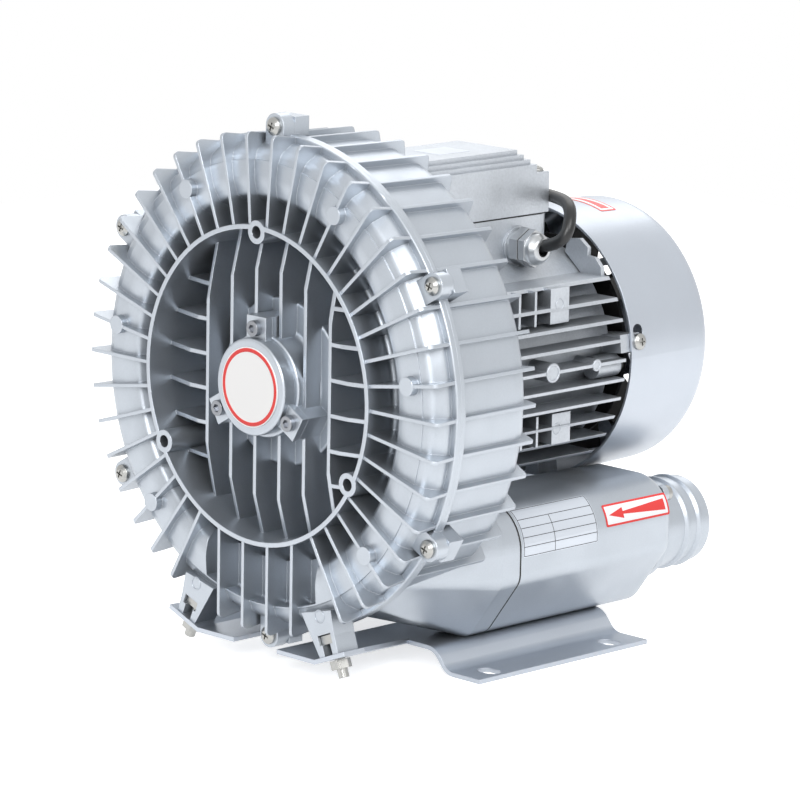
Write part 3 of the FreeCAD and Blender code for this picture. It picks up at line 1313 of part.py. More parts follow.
def terminal_box():
    wall = S.lid_wall
    low, side_top = S.lid_low_z, S.lid_top_z - S.lid_step * 3
    front, rear, half = S.box_front_y, S.lid_rear_y, S.lid_half
    solids = [block("lid_wall_block", -half, front, low, half * 2, rear - front,
                    side_top - low)]
    for k in (1, 2, 3):
        inset = S.lid_step * k
        solids.append(block("lid_step_%d" % k, -half + inset, front + inset, low,
                            (half - inset) * 2, rear - front - inset * 2,
                            side_top - low + S.lid_step * k))
    room = block("lid_room", -half + wall, front + wall, low, (half - wall) * 2,
                 rear - front - wall * 2, S.lid_top_z - S.lid_step * 3 - low - wall)
    posts, holes, screws = [], [], []
    for side in (1, -1):
        x = lid_screw_x * side
        tag = "right" if side > 0 else "left"
        posts.append(rod("lid_post_front_" + tag, S.box_wall + 1.4, S.lid_lug_z - low - 2.0,
                         x, lid_screw_front_y, low, "z"))
        holes.append(rod("lid_well_" + tag, 4.4, 14.0, x, lid_screw_front_y,
                         S.lid_lug_z - 3.0, "z"))
        corner = lid_screw_x - 5.9 if side > 0 else -S.lid_half
        posts.append(block("lid_lug_" + tag, corner, rear - 2.0, low,
                           S.lid_half - lid_screw_x + 5.9, S.lid_lug_y + 2.0,
                           S.lid_lug_z - low))
        for name, y, top in (("front", lid_screw_front_y, S.lid_lug_z - 3.0),
                             ("rear", lid_screw_rear_y, S.lid_lug_z)):
            holes.append(rod("lid_hole_%s_%s" % (name, tag), 2.2, 40.0, x, y, low - 1.0, "z"))
            screws.append((x, y, top))
    hollow = cut("lid_hollowed", fused("lid_solid", solids), [room])
    finish("terminal_box_lid", cut("lid_casting", fused("lid_with_posts", [hollow] + posts),
                                   holes))
    master = pan_screw("lid_screw", 1.96, S.lid_lug_z - S.box_top_z + 3.6, 3.8, 2.4)
    copies("lid_screws", master, [
        Placement(Vector(float(x), float(y), float(z)), Rotation(Vector(1, 0, 0), -90))
        for x, y, z in screws])
    outer = block("gasket_plate", -S.box_half, S.box_front_y, S.box_top_z, S.box_half * 2,
                  S.box_rear_y - S.box_front_y, S.lid_gasket_thick)
    ears, gaps = [], []
    for side in (1, -1):
        ears.append(rod("gasket_ear_%d" % (side + 1), S.box_wall + 1.4, S.lid_gasket_thick,
                        lid_screw_x * side, lid_screw_rear_y, S.box_top_z, "z"))
        for y in (lid_screw_front_y, lid_screw_rear_y):
            gaps.append(rod("gasket_hole_%d_%d" % (side + 1, float(y)), 2.3,
                            S.lid_gasket_thick, lid_screw_x * side, y, S.box_top_z, "z"))
    gaps.append(block("gasket_room", -S.box_half + S.box_wall, S.box_front_y + S.box_wall,
                      S.box_top_z, (S.box_half - S.box_wall) * 2,
                      S.box_rear_y - S.box_front_y - S.box_wall * 2, S.lid_gasket_thick))
    finish("lid_gasket", cut("lid_gasket_sheet", fused("gasket_solid", [outer] + ears), gaps))
    single("capacitor", rod("capacitor_can", 15.5, 58.0, 0.0, 103.0, S.box_floor_z + 15.8))
    base = block("terminal_base", -15.0, 84.0, S.box_floor_z, 30.0, 15.0, 9.0)
    studs = []
    for k in range(6):
        studs.append(rod("terminal_well_%d" % k, 2.2, 5.0, -10.0 + 10.0 * (k % 3),
                         88.0 + 7.0 * (k // 3), S.box_floor_z + 4.0, "z"))
    finish("terminal_block", cut("terminal_moulding", base, [gathered("terminal_wells", studs)]))
    master = rod("terminal_stud", 1.8, 9.5, 0.0, 0.0, 0.0, "z")
    copies("terminal_studs", master, [
        Placement(Vector(-10.0 + 10.0 * (k % 3), 88.0 + 7.0 * (k // 3),
                         float(S.box_floor_z) + 4.05), Rotation()) for k in range(6)])


def gland():
    start, thread = S.box_half, S.gland_thread_r
    seat = start + 9.9
    lie = Rotation(Vector(0, 0, 1), -90)

    def along_x(name, corners):
        body = turned(name, corners)
        return put(body, 0.0, S.gland_y, S.gland_z, lie)

    single("gland_washer", along_x("gland_ring_washer", [
        (thread + 0.05, start + 1.4), (9.6, start + 1.4), (9.6, start + 3.4),
        (thread + 0.05, start + 3.4)]))
    stem = along_x("gland_stem", [
        (S.cable_r + 0.9, start - S.box_wall), (thread - 0.03, start - S.box_wall),
        (thread - 0.03, start + 4.0), (8.4, start + 4.0), (8.4, seat),
        (thread, seat), (thread, start + 16.0), (S.cable_r + 0.9, start + 16.0)])
    hexa = hexagon("gland_hex", S.gland_flats + 0.5, 6.0, start + 3.4, S.gland_y, S.gland_z,
                   "x")
    bore = rod("gland_bore", S.cable_r + 0.9, 40.0, start - S.box_wall, S.gland_y, S.gland_z,
               "x")
    finish("gland_body", cut("gland_body_turned", fused("gland_body_solid", [stem, hexa]),
                             [bore]))
    dome = along_x("gland_dome", [
        (thread + 0.04, seat + 0.02), (8.9, seat + 0.02), (8.9, start + 16.4, 4.0),
        (S.cable_r + 2.6, S.gland_end_x, 2.0), (S.cable_r + 0.3, S.gland_end_x),
        (S.cable_r + 0.3, start + 17.4), (thread + 0.04, start + 17.4)])
    nut = hexagon("gland_nut_hex", S.gland_flats, 4.5, seat + 0.02, S.gland_y, S.gland_z, "x")
    clear = rod("gland_nut_bore", thread + 0.04, 7.5, seat, S.gland_y, S.gland_z, "x")
    finish("gland_nut", cut("gland_nut_turned", fused("gland_nut_solid", [dome, nut]),
                            [clear]))
    single("gland_seal", along_x("gland_seal_ring", [
        (S.cable_r + 0.03, start + 6.0), (S.cable_r + 0.87, start + 6.0),
        (S.cable_r + 0.87, start + 16.4), (S.cable_r + 0.03, start + 16.4)]))


# Silencers, spigots and feet

def silencers():
    front = S.neck_rear_y + S.gasket_thick
    gasket = pushed("port_gasket_plate", port_outline(), S.neck_rear_y, S.gasket_thick)
    tie_places = [polar(S.tie_screw_circle_r, angle) for angle in (45.0, 135.0)]
    tie_holes = []
    for k, (x, z) in enumerate(tie_places):
        tie_holes.append(rod("tie_hole_%d" % k, S.tie_screw_r + 0.2,
                             S.silencer_rear_y + 10.0 - S.neck_rear_y, S.port_x + x,
                             S.neck_rear_y, S.port_z + z))
    gasket_hole = rod("gasket_duct", S.duct_r, S.gasket_thick, S.port_x, S.neck_rear_y,
                      S.port_z)
    sheet_right = cut("port_gasket_cut", gasket, [gasket_hole] + tie_holes)
    pair("port_gaskets", sheet_right)
    body = pushed("silencer_block", port_outline(), front, S.silencer_rear_y - front)
    doc.recompute()
    pad = body.Tip
    rear_edges = []
    for i, edge in enumerate(pad.Shape.Edges, 1):
        if all(abs(v.Point.y - float(S.silencer_rear_y)) < 0.01 for v in edge.Vertexes):
            rear_edges.append("Edge%d" % i)
    rounding = body.newObject("PartDesign::Fillet", "silencer_rear_rounding")
    rounding.Base = (pad, rear_edges)
    bind(rounding, "Radius", S.silencer_edge_r)
    body.Tip = rounding
    room = rod("silencer_room", S.foam_out_r + 0.05,
               S.silencer_rear_y - S.silencer_wall - front, S.port_x, front, S.port_z)
    outlet = rod("silencer_outlet", S.hose_spigot_bore_r, 20.0, S.port_x,
                 S.silencer_rear_y - 10.0, S.port_z)
    taps = []
    for k, y in enumerate((S.foot_screw_rear_y,)):
        taps.append(rod("silencer_foot_tap_%d" % k, S.foot_bolt_r, 8.0, S.port_x, y,
                        S.port_z - S.port_bottom, "z"))
    relief = rod("silencer_cowl_room", S.cowl_front_r + S.cowl_clear,
                 S.silencer_rear_y - S.cowl_front_y + 4.0, 0.0, S.cowl_front_y - 3.0, 0.0)
    case = cut("silencer_case", body, [room, outlet, relief] + tie_holes + taps)
    mirrored("silencer_left", case)
    finish("silencer_right", case)
    end = S.silencer_rear_y - S.silencer_wall

    def around_port(name, corners):
        return put(turned(name, corners), S.port_x, 0.0, S.port_z)

    foam = around_port("foam_tube", [
        (S.foam_in_r + 0.05, front + 0.1), (S.foam_out_r, front + 0.1),
        (S.foam_out_r, end - 0.1), (S.foam_in_r + 0.05, end - 0.1)])
    core = around_port("mesh_tube", [
        (S.foam_in_r - S.core_thick, front + 0.1), (S.foam_in_r, front + 0.1),
        (S.foam_in_r, end - 0.1), (S.foam_in_r - S.core_thick, end - 0.1)])
    rear = S.silencer_rear_y
    bore, tube, bead = S.hose_spigot_bore_r, S.hose_spigot_r, S.hose_bead_r
    spigot = around_port("spigot_tube", [
        (bore, rear), (S.hose_flange_r, rear), (S.hose_flange_r, rear + S.hose_flange_thick),
        (tube, rear + S.hose_flange_thick, 1.5), (tube, rear + 22.5), (bead, rear + 24.0, 0.8),
        (bead, rear + 25.5, 0.8), (tube, rear + 27.0), (tube, rear + 32.5),
        (bead, rear + 34.0, 0.8), (bead, rear + 35.5, 0.8), (tube, rear + 37.0),
        (tube, S.hose_spigot_rear_y), (bore, S.hose_spigot_rear_y)])
    ears = []
    for k, (x, z) in enumerate(tie_places):
        ears.append(rod("spigot_ear_%d" % k, 5.0, S.hose_flange_thick, S.port_x + x, rear,
                        S.port_z + z))
    holes = list(tie_holes)
    spigot_piece = cut("spigot_casting", fused("spigot_solid", [spigot] + ears), holes)
    pair("silencer_foam", foam)
    pair("silencer_cores", core)
    mirrored("hose_spigot_left", spigot_piece)
    finish("hose_spigot_right", spigot_piece)
    length = S.silencer_rear_y + S.hose_flange_thick - S.neck_rear_y + 14.0
    master = socket_screw("tie_screw", S.tie_screw_r - 0.04, length, 4.3, 4.0)
    places = []
    for side in (1, -1):
        for x, z in tie_places:
            places.append(Placement(Vector(
                (float(S.port_x) + float(x)) * side,
                float(rear + S.hose_flange_thick), float(S.port_z) + float(z)), Rotation()))
    copies("tie_screws", flipped("tie_screw_flipped", master), places)


def feet():
    deck, thick = S.foot_deck_z, S.foot_thick
    low = deck - thick
    floor = -S.axis_height
    tongue = raised("foot_tongue", [
        (S.foot_in_x, S.foot_front_y), (S.foot_bend_x, S.foot_front_y),
        (S.foot_bend_x + 1.0, S.foot_main_front_y + 2.0),
        (S.foot_in_x, S.foot_main_front_y + 2.0)], low, thick)
    strip = pushed("foot_strip", [
        (S.foot_in_x, low), (S.foot_shoulder_x - 1.2, low, S.foot_bend_r - thick),
        (S.foot_flange_in_x - 1.2, floor, S.foot_bend_r), (S.foot_out_x, floor),
        (S.foot_out_x, floor + thick),
        (S.foot_flange_in_x, floor + thick, S.foot_bend_r - thick),
        (S.foot_shoulder_x, deck, S.foot_bend_r), (S.foot_in_x, deck),
    ], S.foot_main_front_y, S.foot_rear_y - S.foot_main_front_y)
    wing = raised("foot_wing_plate", [
        (-1.0, 0.0), (S.foot_wing_reach, 0.0), (S.foot_wing_reach - 1.0, 16.0),
        (2.0, S.foot_main_front_y - S.foot_front_y + 1.0),
        (-1.0, S.foot_main_front_y - S.foot_front_y + 1.0)], -thick, thick)
    put(wing, S.foot_bend_x, S.foot_front_y, deck, Rotation(Vector(0, 1, 0), -21.4))
    solids = [tongue, strip, wing]
    holes = []
    for k in (-1, 1):
        y = S.slot_centre_y + S.slot_spacing_y / 2 * k
        half = S.slot_length / 2 - S.slot_r
        holes.append(block("foot_slot_%d" % (k + 1), S.slot_x - half, y - S.slot_r,
                           floor - 1.0, half * 2, S.slot_r * 2, thick + 2.0))
        for j in (-1, 1):
            holes.append(rod("foot_slot_end_%d_%d" % (k + 1, j + 1), S.slot_r, thick + 2.0,
                             S.slot_x + half * j, y, floor - 1.0, "z"))
    for k, y in enumerate((S.foot_screw_y, S.foot_screw_rear_y)):
        holes.append(rod("foot_hole_%d" % k, S.foot_bolt_r + 0.3, thick, S.port_x, y, low, "z"))
    tilt = Rotation(Vector(0, 1, 0), -float(S.leg_tilt) + 180.0)
    tee_x, tee_z = S.leg_foot_x, S.leg_foot_z
    holes.append(rod("foot_tee_hole", S.foot_bolt_r + 0.3, 14.0, tee_x, S.leg_front_y + 7.0,
                     tee_z, turn=tilt))
    plate = cut("foot_plate", fused("foot_solid", solids), holes)
    mirrored("foot_left", plate)
    finish("foot_right", plate)
    master = hex_screw("foot_screw", S.foot_bolt_r - 0.04, thick + 6.5, 4.9, 4.0)
    places = []
    for side in (1, -1):
        for y in (S.foot_screw_y, S.foot_screw_rear_y):
            places.append(Placement(Vector(float(S.port_x) * side, float(y), float(low)),
                                    Rotation(Vector(1, 0, 0), 90)))
    copies("foot_screws", master, places)
    reach = S.tee_head_high - 0.6
    bolt = fused("tee_bolt", [
        rod("tee_bolt_shank", S.foot_bolt_r - 0.04, 13.0 + reach, 0.0, 0.0, 0.0, "z"),
        block("tee_bolt_head", -S.tee_head_half + 0.3, -5.0, 0.0, S.tee_head_half * 2 - 0.6,
              10.0, S.tee_head_high - S.tee_head_low - 0.6)])
    nut = cut("tee_nut", hexagon("tee_nut_hex", S.foot_nut_flats, S.foot_nut_h, 0.0, 0.0, 0.0,
                                 "z"),
              [rod("tee_nut_bore", S.foot_bolt_r - 0.02, S.foot_nut_h, 0.0, 0.0, 0.0, "z")])
    bolts, nuts = [], []
    for side in (1, -1):
        turn = Rotation(Vector(0, 1, 0), (180.0 - float(S.leg_tilt)) * side)
        up = turn.multVec(Vector(0, 0, -1))
        foot = Vector(float(tee_x) * side, float(S.leg_front_y) + 7.0, float(tee_z))
        bolts.append(Placement(foot + up * float(reach), turn))
        nuts.append(Placement(foot - up * 3.1, turn))
    copies("foot_tee_bolts", bolt, bolts)
    copies("foot_tee_nuts", nut, nuts)


# Mains lead

CORD = [
    (22.0, 156.6, 62.0), (64.0, 156.6, 62.0), (62.0, 168.0, 87.0), (24.0, 189.5, 86.5),
    (-22.0, 191.0, 86.0), (-66.0, 189.0, 76.0), (-95.0, 186.0, 36.0), (-101.0, 184.0, -18.0),
    (-108.0, 178.0, -72.0), (-112.0, 174.0, -112.0), (-120.2, 156.0, -134.2),
    (-140.0, 144.6, -134.2),
]
TAIL = [
    (-172.8, 224.1, -147.0), (-150.0, 232.6, -150.5), (-130.0, 244.5, -143.4),
    (-108.0, 262.0, -143.4),
]
COIL_AT = (-156.0, 178.0)
COIL_R = 37.0
COIL_THICK = 8.5


def cord_path(points):
    """Straight runs joined by arcs that touch them, from a list of corners."""
    corners = [Vector(*p) for p in points]
    edges, last, bends = [], corners[0], []
    for before, here, after in zip(corners, corners[1:], corners[2:]):
        back, on = (before - here), (after - here)
        short = min(back.Length, on.Length)
        back.normalize()
        on.normalize()
        turn = math.pi - back.getAngle(on)
        reach = 0.45 * short
        radius = reach / math.tan(turn / 2)
        bends.append(radius)
        start, end = here + back * reach, here + on * reach
        middle = here + (back + on).normalize() * (radius / math.cos(turn / 2) - radius)
        edges.append(Part.makeLine(last, start))
        edges.append(Part.Arc(start, middle, end).toShape())
        last = end
    edges.append(Part.makeLine(last, corners[-1]))
    return Part.Wire(edges), bends


def cord(points):
    wire, bends = cord_path(points)
    radius = float(S.cable_r)
    first = wire.Edges[0]
    circle = Part.Wire(Part.makeCircle(radius, first.valueAt(first.FirstParameter),
                                       first.tangentAt(first.FirstParameter)))
    tube = wire.makePipeShell([circle], True, True)
    expected = math.pi * radius ** 2 * wire.Length
    print("cord: length %.0f, volume ratio %.4f, bends %s" % (
        wire.Length, tube.Volume / expected, " ".join("%.0f" % bend for bend in bends)))
    return tube


def mains_lead():
    made = doc.addObject("Part::Feature", "mains_cable_tubes")
    made.Shape = Part.makeCompound([cord(CORD), cord(TAIL)])
    finish("mains_cable", made)
    coil = doc.addObject("Part::Torus", "coil_ring")
    coil.Radius1 = COIL_R
    coil.Radius2 = COIL_THICK
    put(coil, COIL_AT[0], COIL_AT[1], -S.axis_height + COIL_THICK)
    single("mains_cable_coil", coil)
    x, y, z = TAIL[-1]
    lie = Rotation(Vector(0, 0, 1), -51.5)
    grip = turned("plug_grip", [
        (0.0, 0.0), (S.cable_r + 1.2, 0.0), (S.cable_r + 1.6, 9.0), (9.5, 12.0, 1.5),
        (11.5, 30.0, 4.0), (11.5, 36.0), (0.0, 36.0)])
    single("mains_plug", put(grip, x, y, -S.axis_height + 11.6, lie))
    master = block("plug_pin", -3.0, 36.0, -0.75, 6.0, 18.0, 1.5)
    base = Vector(x, y, float(-S.axis_height) + 11.6)
    places = []
    for off in (-5.0, 5.0):
        shift = lie.multVec(Vector(0, 0, off))
        places.append(Placement(base + shift, lie))
    copies("mains_plug_pins", master, places)


def build_pieces():
    front_cover()
    rear_housing()
    cover_fittings()
    bearing("front", S.front_bearing_y)
    bearing("rear", S.rear_bearing_y)
    finish("preload_spring", turned("preload_washer", [
        (S.bearing_out_r - 3.6, S.front_bearing_y - 0.75),
        (S.bearing_out_r - 0.3, S.front_bearing_y - 0.75),
        (S.bearing_out_r - 0.3, S.front_bearing_y - 0.05),
        (S.bearing_out_r - 3.6, S.front_bearing_y - 0.05)]))
    single_turned("shaft_seal", [
        (S.shaft_r + 3.05, floor_back_y - 7.9), (17.48, floor_back_y - 7.9),
        (17.48, floor_back_y - 0.2), (S.shaft_r + 3.05, floor_back_y - 0.2)])
    rotor()
    stator()
    motor_frame()
    end_shield()
    cowl()
    fan()
    terminal_box()
    gland()
    silencers()
    feet()
    mains_lead()


build_pieces()


def check_and_export():
    """Refuse a failed object or a broken shape, then write each piece."""
    doc.recompute()
    failed = [o.Name for o in doc.Objects if "Invalid" in o.State or "Error" in o.State]
    if failed:
        raise RuntimeError("failed objects: %s" % ", ".join(failed))
    for node, thing in PIECES.items():
        shape = thing.Shape
        if shape.isNull() or not shape.isValid() or not shape.Solids:
            raise RuntimeError("broken shape: %s" % node)
        print("%-28s solids %2d  volume %10.1f" % (node, len(shape.Solids), shape.Volume))
        shape.exportStep("parts/%s.step" % node)


check_and_export()
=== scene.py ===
"""Looks of the side channel blower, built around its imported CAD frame.

Every place is in metres in the frame's own axes: the floor at Z = 0, the shaft along +Y from the
finned cover to the fan cowl, and +X to the right of someone who faces the cover.
"""
import json
import math

import bmesh
import bpy
import numpy as np
from mathutils import Matrix, Vector


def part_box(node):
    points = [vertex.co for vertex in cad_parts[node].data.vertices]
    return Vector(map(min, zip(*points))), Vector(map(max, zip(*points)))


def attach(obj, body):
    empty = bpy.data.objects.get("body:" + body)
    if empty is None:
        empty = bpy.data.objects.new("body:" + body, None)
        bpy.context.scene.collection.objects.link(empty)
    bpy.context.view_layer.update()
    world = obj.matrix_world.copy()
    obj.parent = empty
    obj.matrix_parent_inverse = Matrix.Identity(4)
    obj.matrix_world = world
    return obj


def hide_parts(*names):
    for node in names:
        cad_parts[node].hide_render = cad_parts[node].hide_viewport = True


bl_info = {
    "name": "Side channel blower",
    "version": (1, 0, 0),
    "blender": (4, 2, 0),
    "location": "View3D > Sidebar > Blower",
    "description": "Paints, stickers, mains lead and studio of a side channel blower",
    "category": "Object",
}

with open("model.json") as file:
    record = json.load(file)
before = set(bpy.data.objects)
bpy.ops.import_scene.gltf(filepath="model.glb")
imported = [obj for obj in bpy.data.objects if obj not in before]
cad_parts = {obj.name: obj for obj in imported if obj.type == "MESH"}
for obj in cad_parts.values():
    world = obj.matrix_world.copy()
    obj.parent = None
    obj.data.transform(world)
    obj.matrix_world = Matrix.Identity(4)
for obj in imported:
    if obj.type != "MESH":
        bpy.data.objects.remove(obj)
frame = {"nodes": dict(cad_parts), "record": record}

# Sizes of the casing drawing, in millimetres from the shaft and from the cover's screws
MM = 0.001
SLOT_CENTRE_Y = 124.5
AXIS_HEIGHT = 155.0
BOSS_END_X = 76.7
PAD_FACE_X = 69.0
LID_TOP_Z = 113.5
LEG_FACE_Y = -7.0
COWL_FRONT_Y = 201.0
COWL_LENGTH = 70.0
COWL_FRONT_R = 77.3
COWL_REAR_LOSS = 2.1
COWL_MEAN_R = 76.4


def at(x, y, z):
    """A point of the casing drawing, moved to the floor and turned into metres."""
    return Vector((x * MM, (y - SLOT_CENTRE_Y) * MM, (z + AXIS_HEIGHT) * MM))


# Sizes that a user may change

class BlowerFinish(bpy.types.PropertyGroup):
    """Colours of the paint and the trim."""
    paint: bpy.props.FloatVectorProperty(
        name="Casing paint", description="Silver-grey paint of the cover, housing and silencers",
        subtype="COLOR", size=3, min=0.0, max=1.0, default=(0.715, 0.74, 0.77))
    casting: bpy.props.FloatVectorProperty(
        name="Motor casting", description="Paint over the rough castings of the motor",
        subtype="COLOR", size=3, min=0.0, max=1.0, default=(0.745, 0.765, 0.79))
    sheet: bpy.props.FloatVectorProperty(
        name="Sheet paint", description="Smooth paint of the cowl and the feet",
        subtype="COLOR", size=3, min=0.0, max=1.0, default=(0.735, 0.76, 0.795))
    red: bpy.props.FloatVectorProperty(
        name="Sticker red", description="Red of the arrows and of the ring on the badge",
        subtype="COLOR", size=3, min=0.0, max=1.0, default=(0.87, 0.20, 0.19))


class BlowerLead(bpy.types.PropertyGroup):
    """The mains lead and its coil."""
    diameter: bpy.props.FloatProperty(
        name="Lead diameter", description="Outer diameter of the sheath",
        default=0.007, min=0.003, unit="LENGTH")
    coil_radius: bpy.props.FloatProperty(
        name="Coil radius", description="Middle of the turns, from the centre of the coil",
        default=0.037, min=0.02, unit="LENGTH")
    turns: bpy.props.IntProperty(
        name="Coil turns", description="Whole turns of the put-away coil", default=4, min=1)


class BlowerMarks(bpy.types.PropertyGroup):
    """Stickers and the rating label."""
    label_length: bpy.props.FloatProperty(
        name="Label length", description="Length of the empty rating label",
        default=0.0572, min=0.01, unit="LENGTH")
    label_height: bpy.props.FloatProperty(
        name="Label height", description="Height of the empty rating label",
        default=0.0272, min=0.01, unit="LENGTH")
    arrow_length: bpy.props.FloatProperty(
        name="Arrow length", description="Length of an arrow sticker",
        default=0.0512, min=0.01, unit="LENGTH")
    arrow_height: bpy.props.FloatProperty(
        name="Arrow height", description="Height of an arrow sticker",
        default=0.0126, min=0.004, unit="LENGTH")


class BlowerStage(bpy.types.PropertyGroup):
    """The studio."""
    key: bpy.props.FloatProperty(
        name="Key light", description="Strength of the main light, on the right",
        default=36.0, min=0.0, unit="POWER")
    fill: bpy.props.FloatProperty(
        name="Fill light", description="Strength of the light on the cover's side",
        default=36.0, min=0.0, unit="POWER")
    sky: bpy.props.FloatProperty(
        name="Sky", description="Strength of the even light from all round", default=0.72, min=0.0)
    lens: bpy.props.FloatProperty(
        name="Lens", description="Focal length of the camera",
        default=205.98, min=1.0, unit="CAMERA")


# Materials

def srgb(r, g, b):
    """A colour as a painter reads it, turned into the linear values that shaders take."""
    parts = []
    for part in (r, g, b):
        parts.append(part / 12.92 if part <= 0.04045 else ((part + 0.055) / 1.055) ** 2.4)
    return (*parts, 1.0)


def finish_of(name, colour, metallic=0.0, roughness=0.5, grain=900.0, depth=0.00002,
              mottle=0.04, spread=0.05, edge=0.0, coat=0.0, painted_shade=0.0):
    """A finish with a fine grain, a slow random change of tone and gloss, painted edge highlights
    and painted crevice shade.

    The grain is noise turned into height. The tone is the colour times one plus the mottle times a
    slow noise. The edge radius rounds the corners for the light only, and where that turns the
    normal away from the face's own, the colour is made a little lighter as a painted highlight. The
    painted shade darkens the colour where ambient occlusion finds the surroundings close in,
    between the fins and in the corners.
    """
    material = bpy.data.materials.get(name) or bpy.data.materials.new(name)
    material.use_nodes = True
    tree = material.node_tree
    nodes, links = tree.nodes, tree.links
    shader = nodes["Principled BSDF"]
    colour = srgb(*colour)
    shader.inputs["Metallic"].default_value = metallic
    shader.inputs["Coat Weight"].default_value = coat
    shader.inputs["Coat Roughness"].default_value = 0.25
    place = nodes.new("ShaderNodeTexCoord")

    def noise(scale, detail):
        made = nodes.new("ShaderNodeTexNoise")
        made.inputs["Scale"].default_value = scale
        made.inputs["Detail"].default_value = detail
        links.new(place.outputs["Object"], made.inputs["Vector"])
        return made.outputs["Fac"]

    def ranged(source, low, high, to_low, to_high):
        made = nodes.new("ShaderNodeMapRange")
        made.inputs["From Min"].default_value = low
        made.inputs["From Max"].default_value = high
        made.inputs["To Min"].default_value = to_low
        made.inputs["To Max"].default_value = to_high
        links.new(source, made.inputs["Value"])
        return made.outputs["Result"]

    def blend(factor, low, high):
        made = nodes.new("ShaderNodeMix")
        made.data_type = "RGBA"
        links.new(factor, made.inputs[0])
        for socket, value in ((made.inputs[6], low), (made.inputs[7], high)):
            if isinstance(value, tuple):
                socket.default_value = value
            else:
                links.new(value, socket)
        return made.outputs[2]

    def shade(amount):
        return tuple(min(1.0, c * (1.0 + amount)) for c in colour[:3]) + (1.0,)

    tone = blend(ranged(noise(24.0, 3.0), 0.35, 0.65, 0.0, 1.0), shade(-mottle), shade(mottle))
    speck = blend(ranged(noise(grain, 2.0), 0.3, 0.7, 0.0, 1.0), shade(-mottle), shade(mottle))
    mixed = nodes.new("ShaderNodeMix")
    mixed.data_type = "RGBA"
    mixed.inputs[0].default_value = 0.5
    links.new(tone, mixed.inputs[6])
    links.new(speck, mixed.inputs[7])
    colouring = mixed.outputs[2]
    bump = nodes.new("ShaderNodeBump")
    bump.inputs["Strength"].default_value = 1.0
    bump.inputs["Distance"].default_value = depth
    links.new(noise(grain, 3.0), bump.inputs["Height"])
    if edge:
        rounded = nodes.new("ShaderNodeBevel")
        rounded.samples = 4
        rounded.inputs["Radius"].default_value = edge
        links.new(rounded.outputs["Normal"], bump.inputs["Normal"])
        plain_normal = nodes.new("ShaderNodeNewGeometry")
        likeness = nodes.new("ShaderNodeVectorMath")
        likeness.operation = "DOT_PRODUCT"
        links.new(rounded.outputs["Normal"], likeness.inputs[0])
        links.new(plain_normal.outputs["Normal"], likeness.inputs[1])
        # Painted highlight: the colour turns lighter along the edges, where the rounded normal
        # leaves the face's own.
        edge_highlight = ranged(likeness.outputs["Value"], 0.80, 0.99, 0.45, 0.0)
        colouring = blend(edge_highlight, colouring, shade(0.35))
    # Painted shade: ambient occlusion darkens the colour between the fins, in recesses and in
    # corners.
    if painted_shade:
        hollow = nodes.new("ShaderNodeAmbientOcclusion")
        hollow.samples = 6
        hollow.inputs["Distance"].default_value = 0.016
        closed = ranged(hollow.outputs["AO"], 0.15, 0.72, painted_shade, 0.0)
        colouring = blend(closed, colouring, shade(-0.75))
    links.new(bump.outputs["Normal"], shader.inputs["Normal"])
    links.new(colouring, shader.inputs["Base Color"])
    links.new(ranged(noise(60.0, 2.0), 0.3, 0.7, max(0.02, roughness - spread), roughness + spread),
              shader.inputs["Roughness"])
    return material


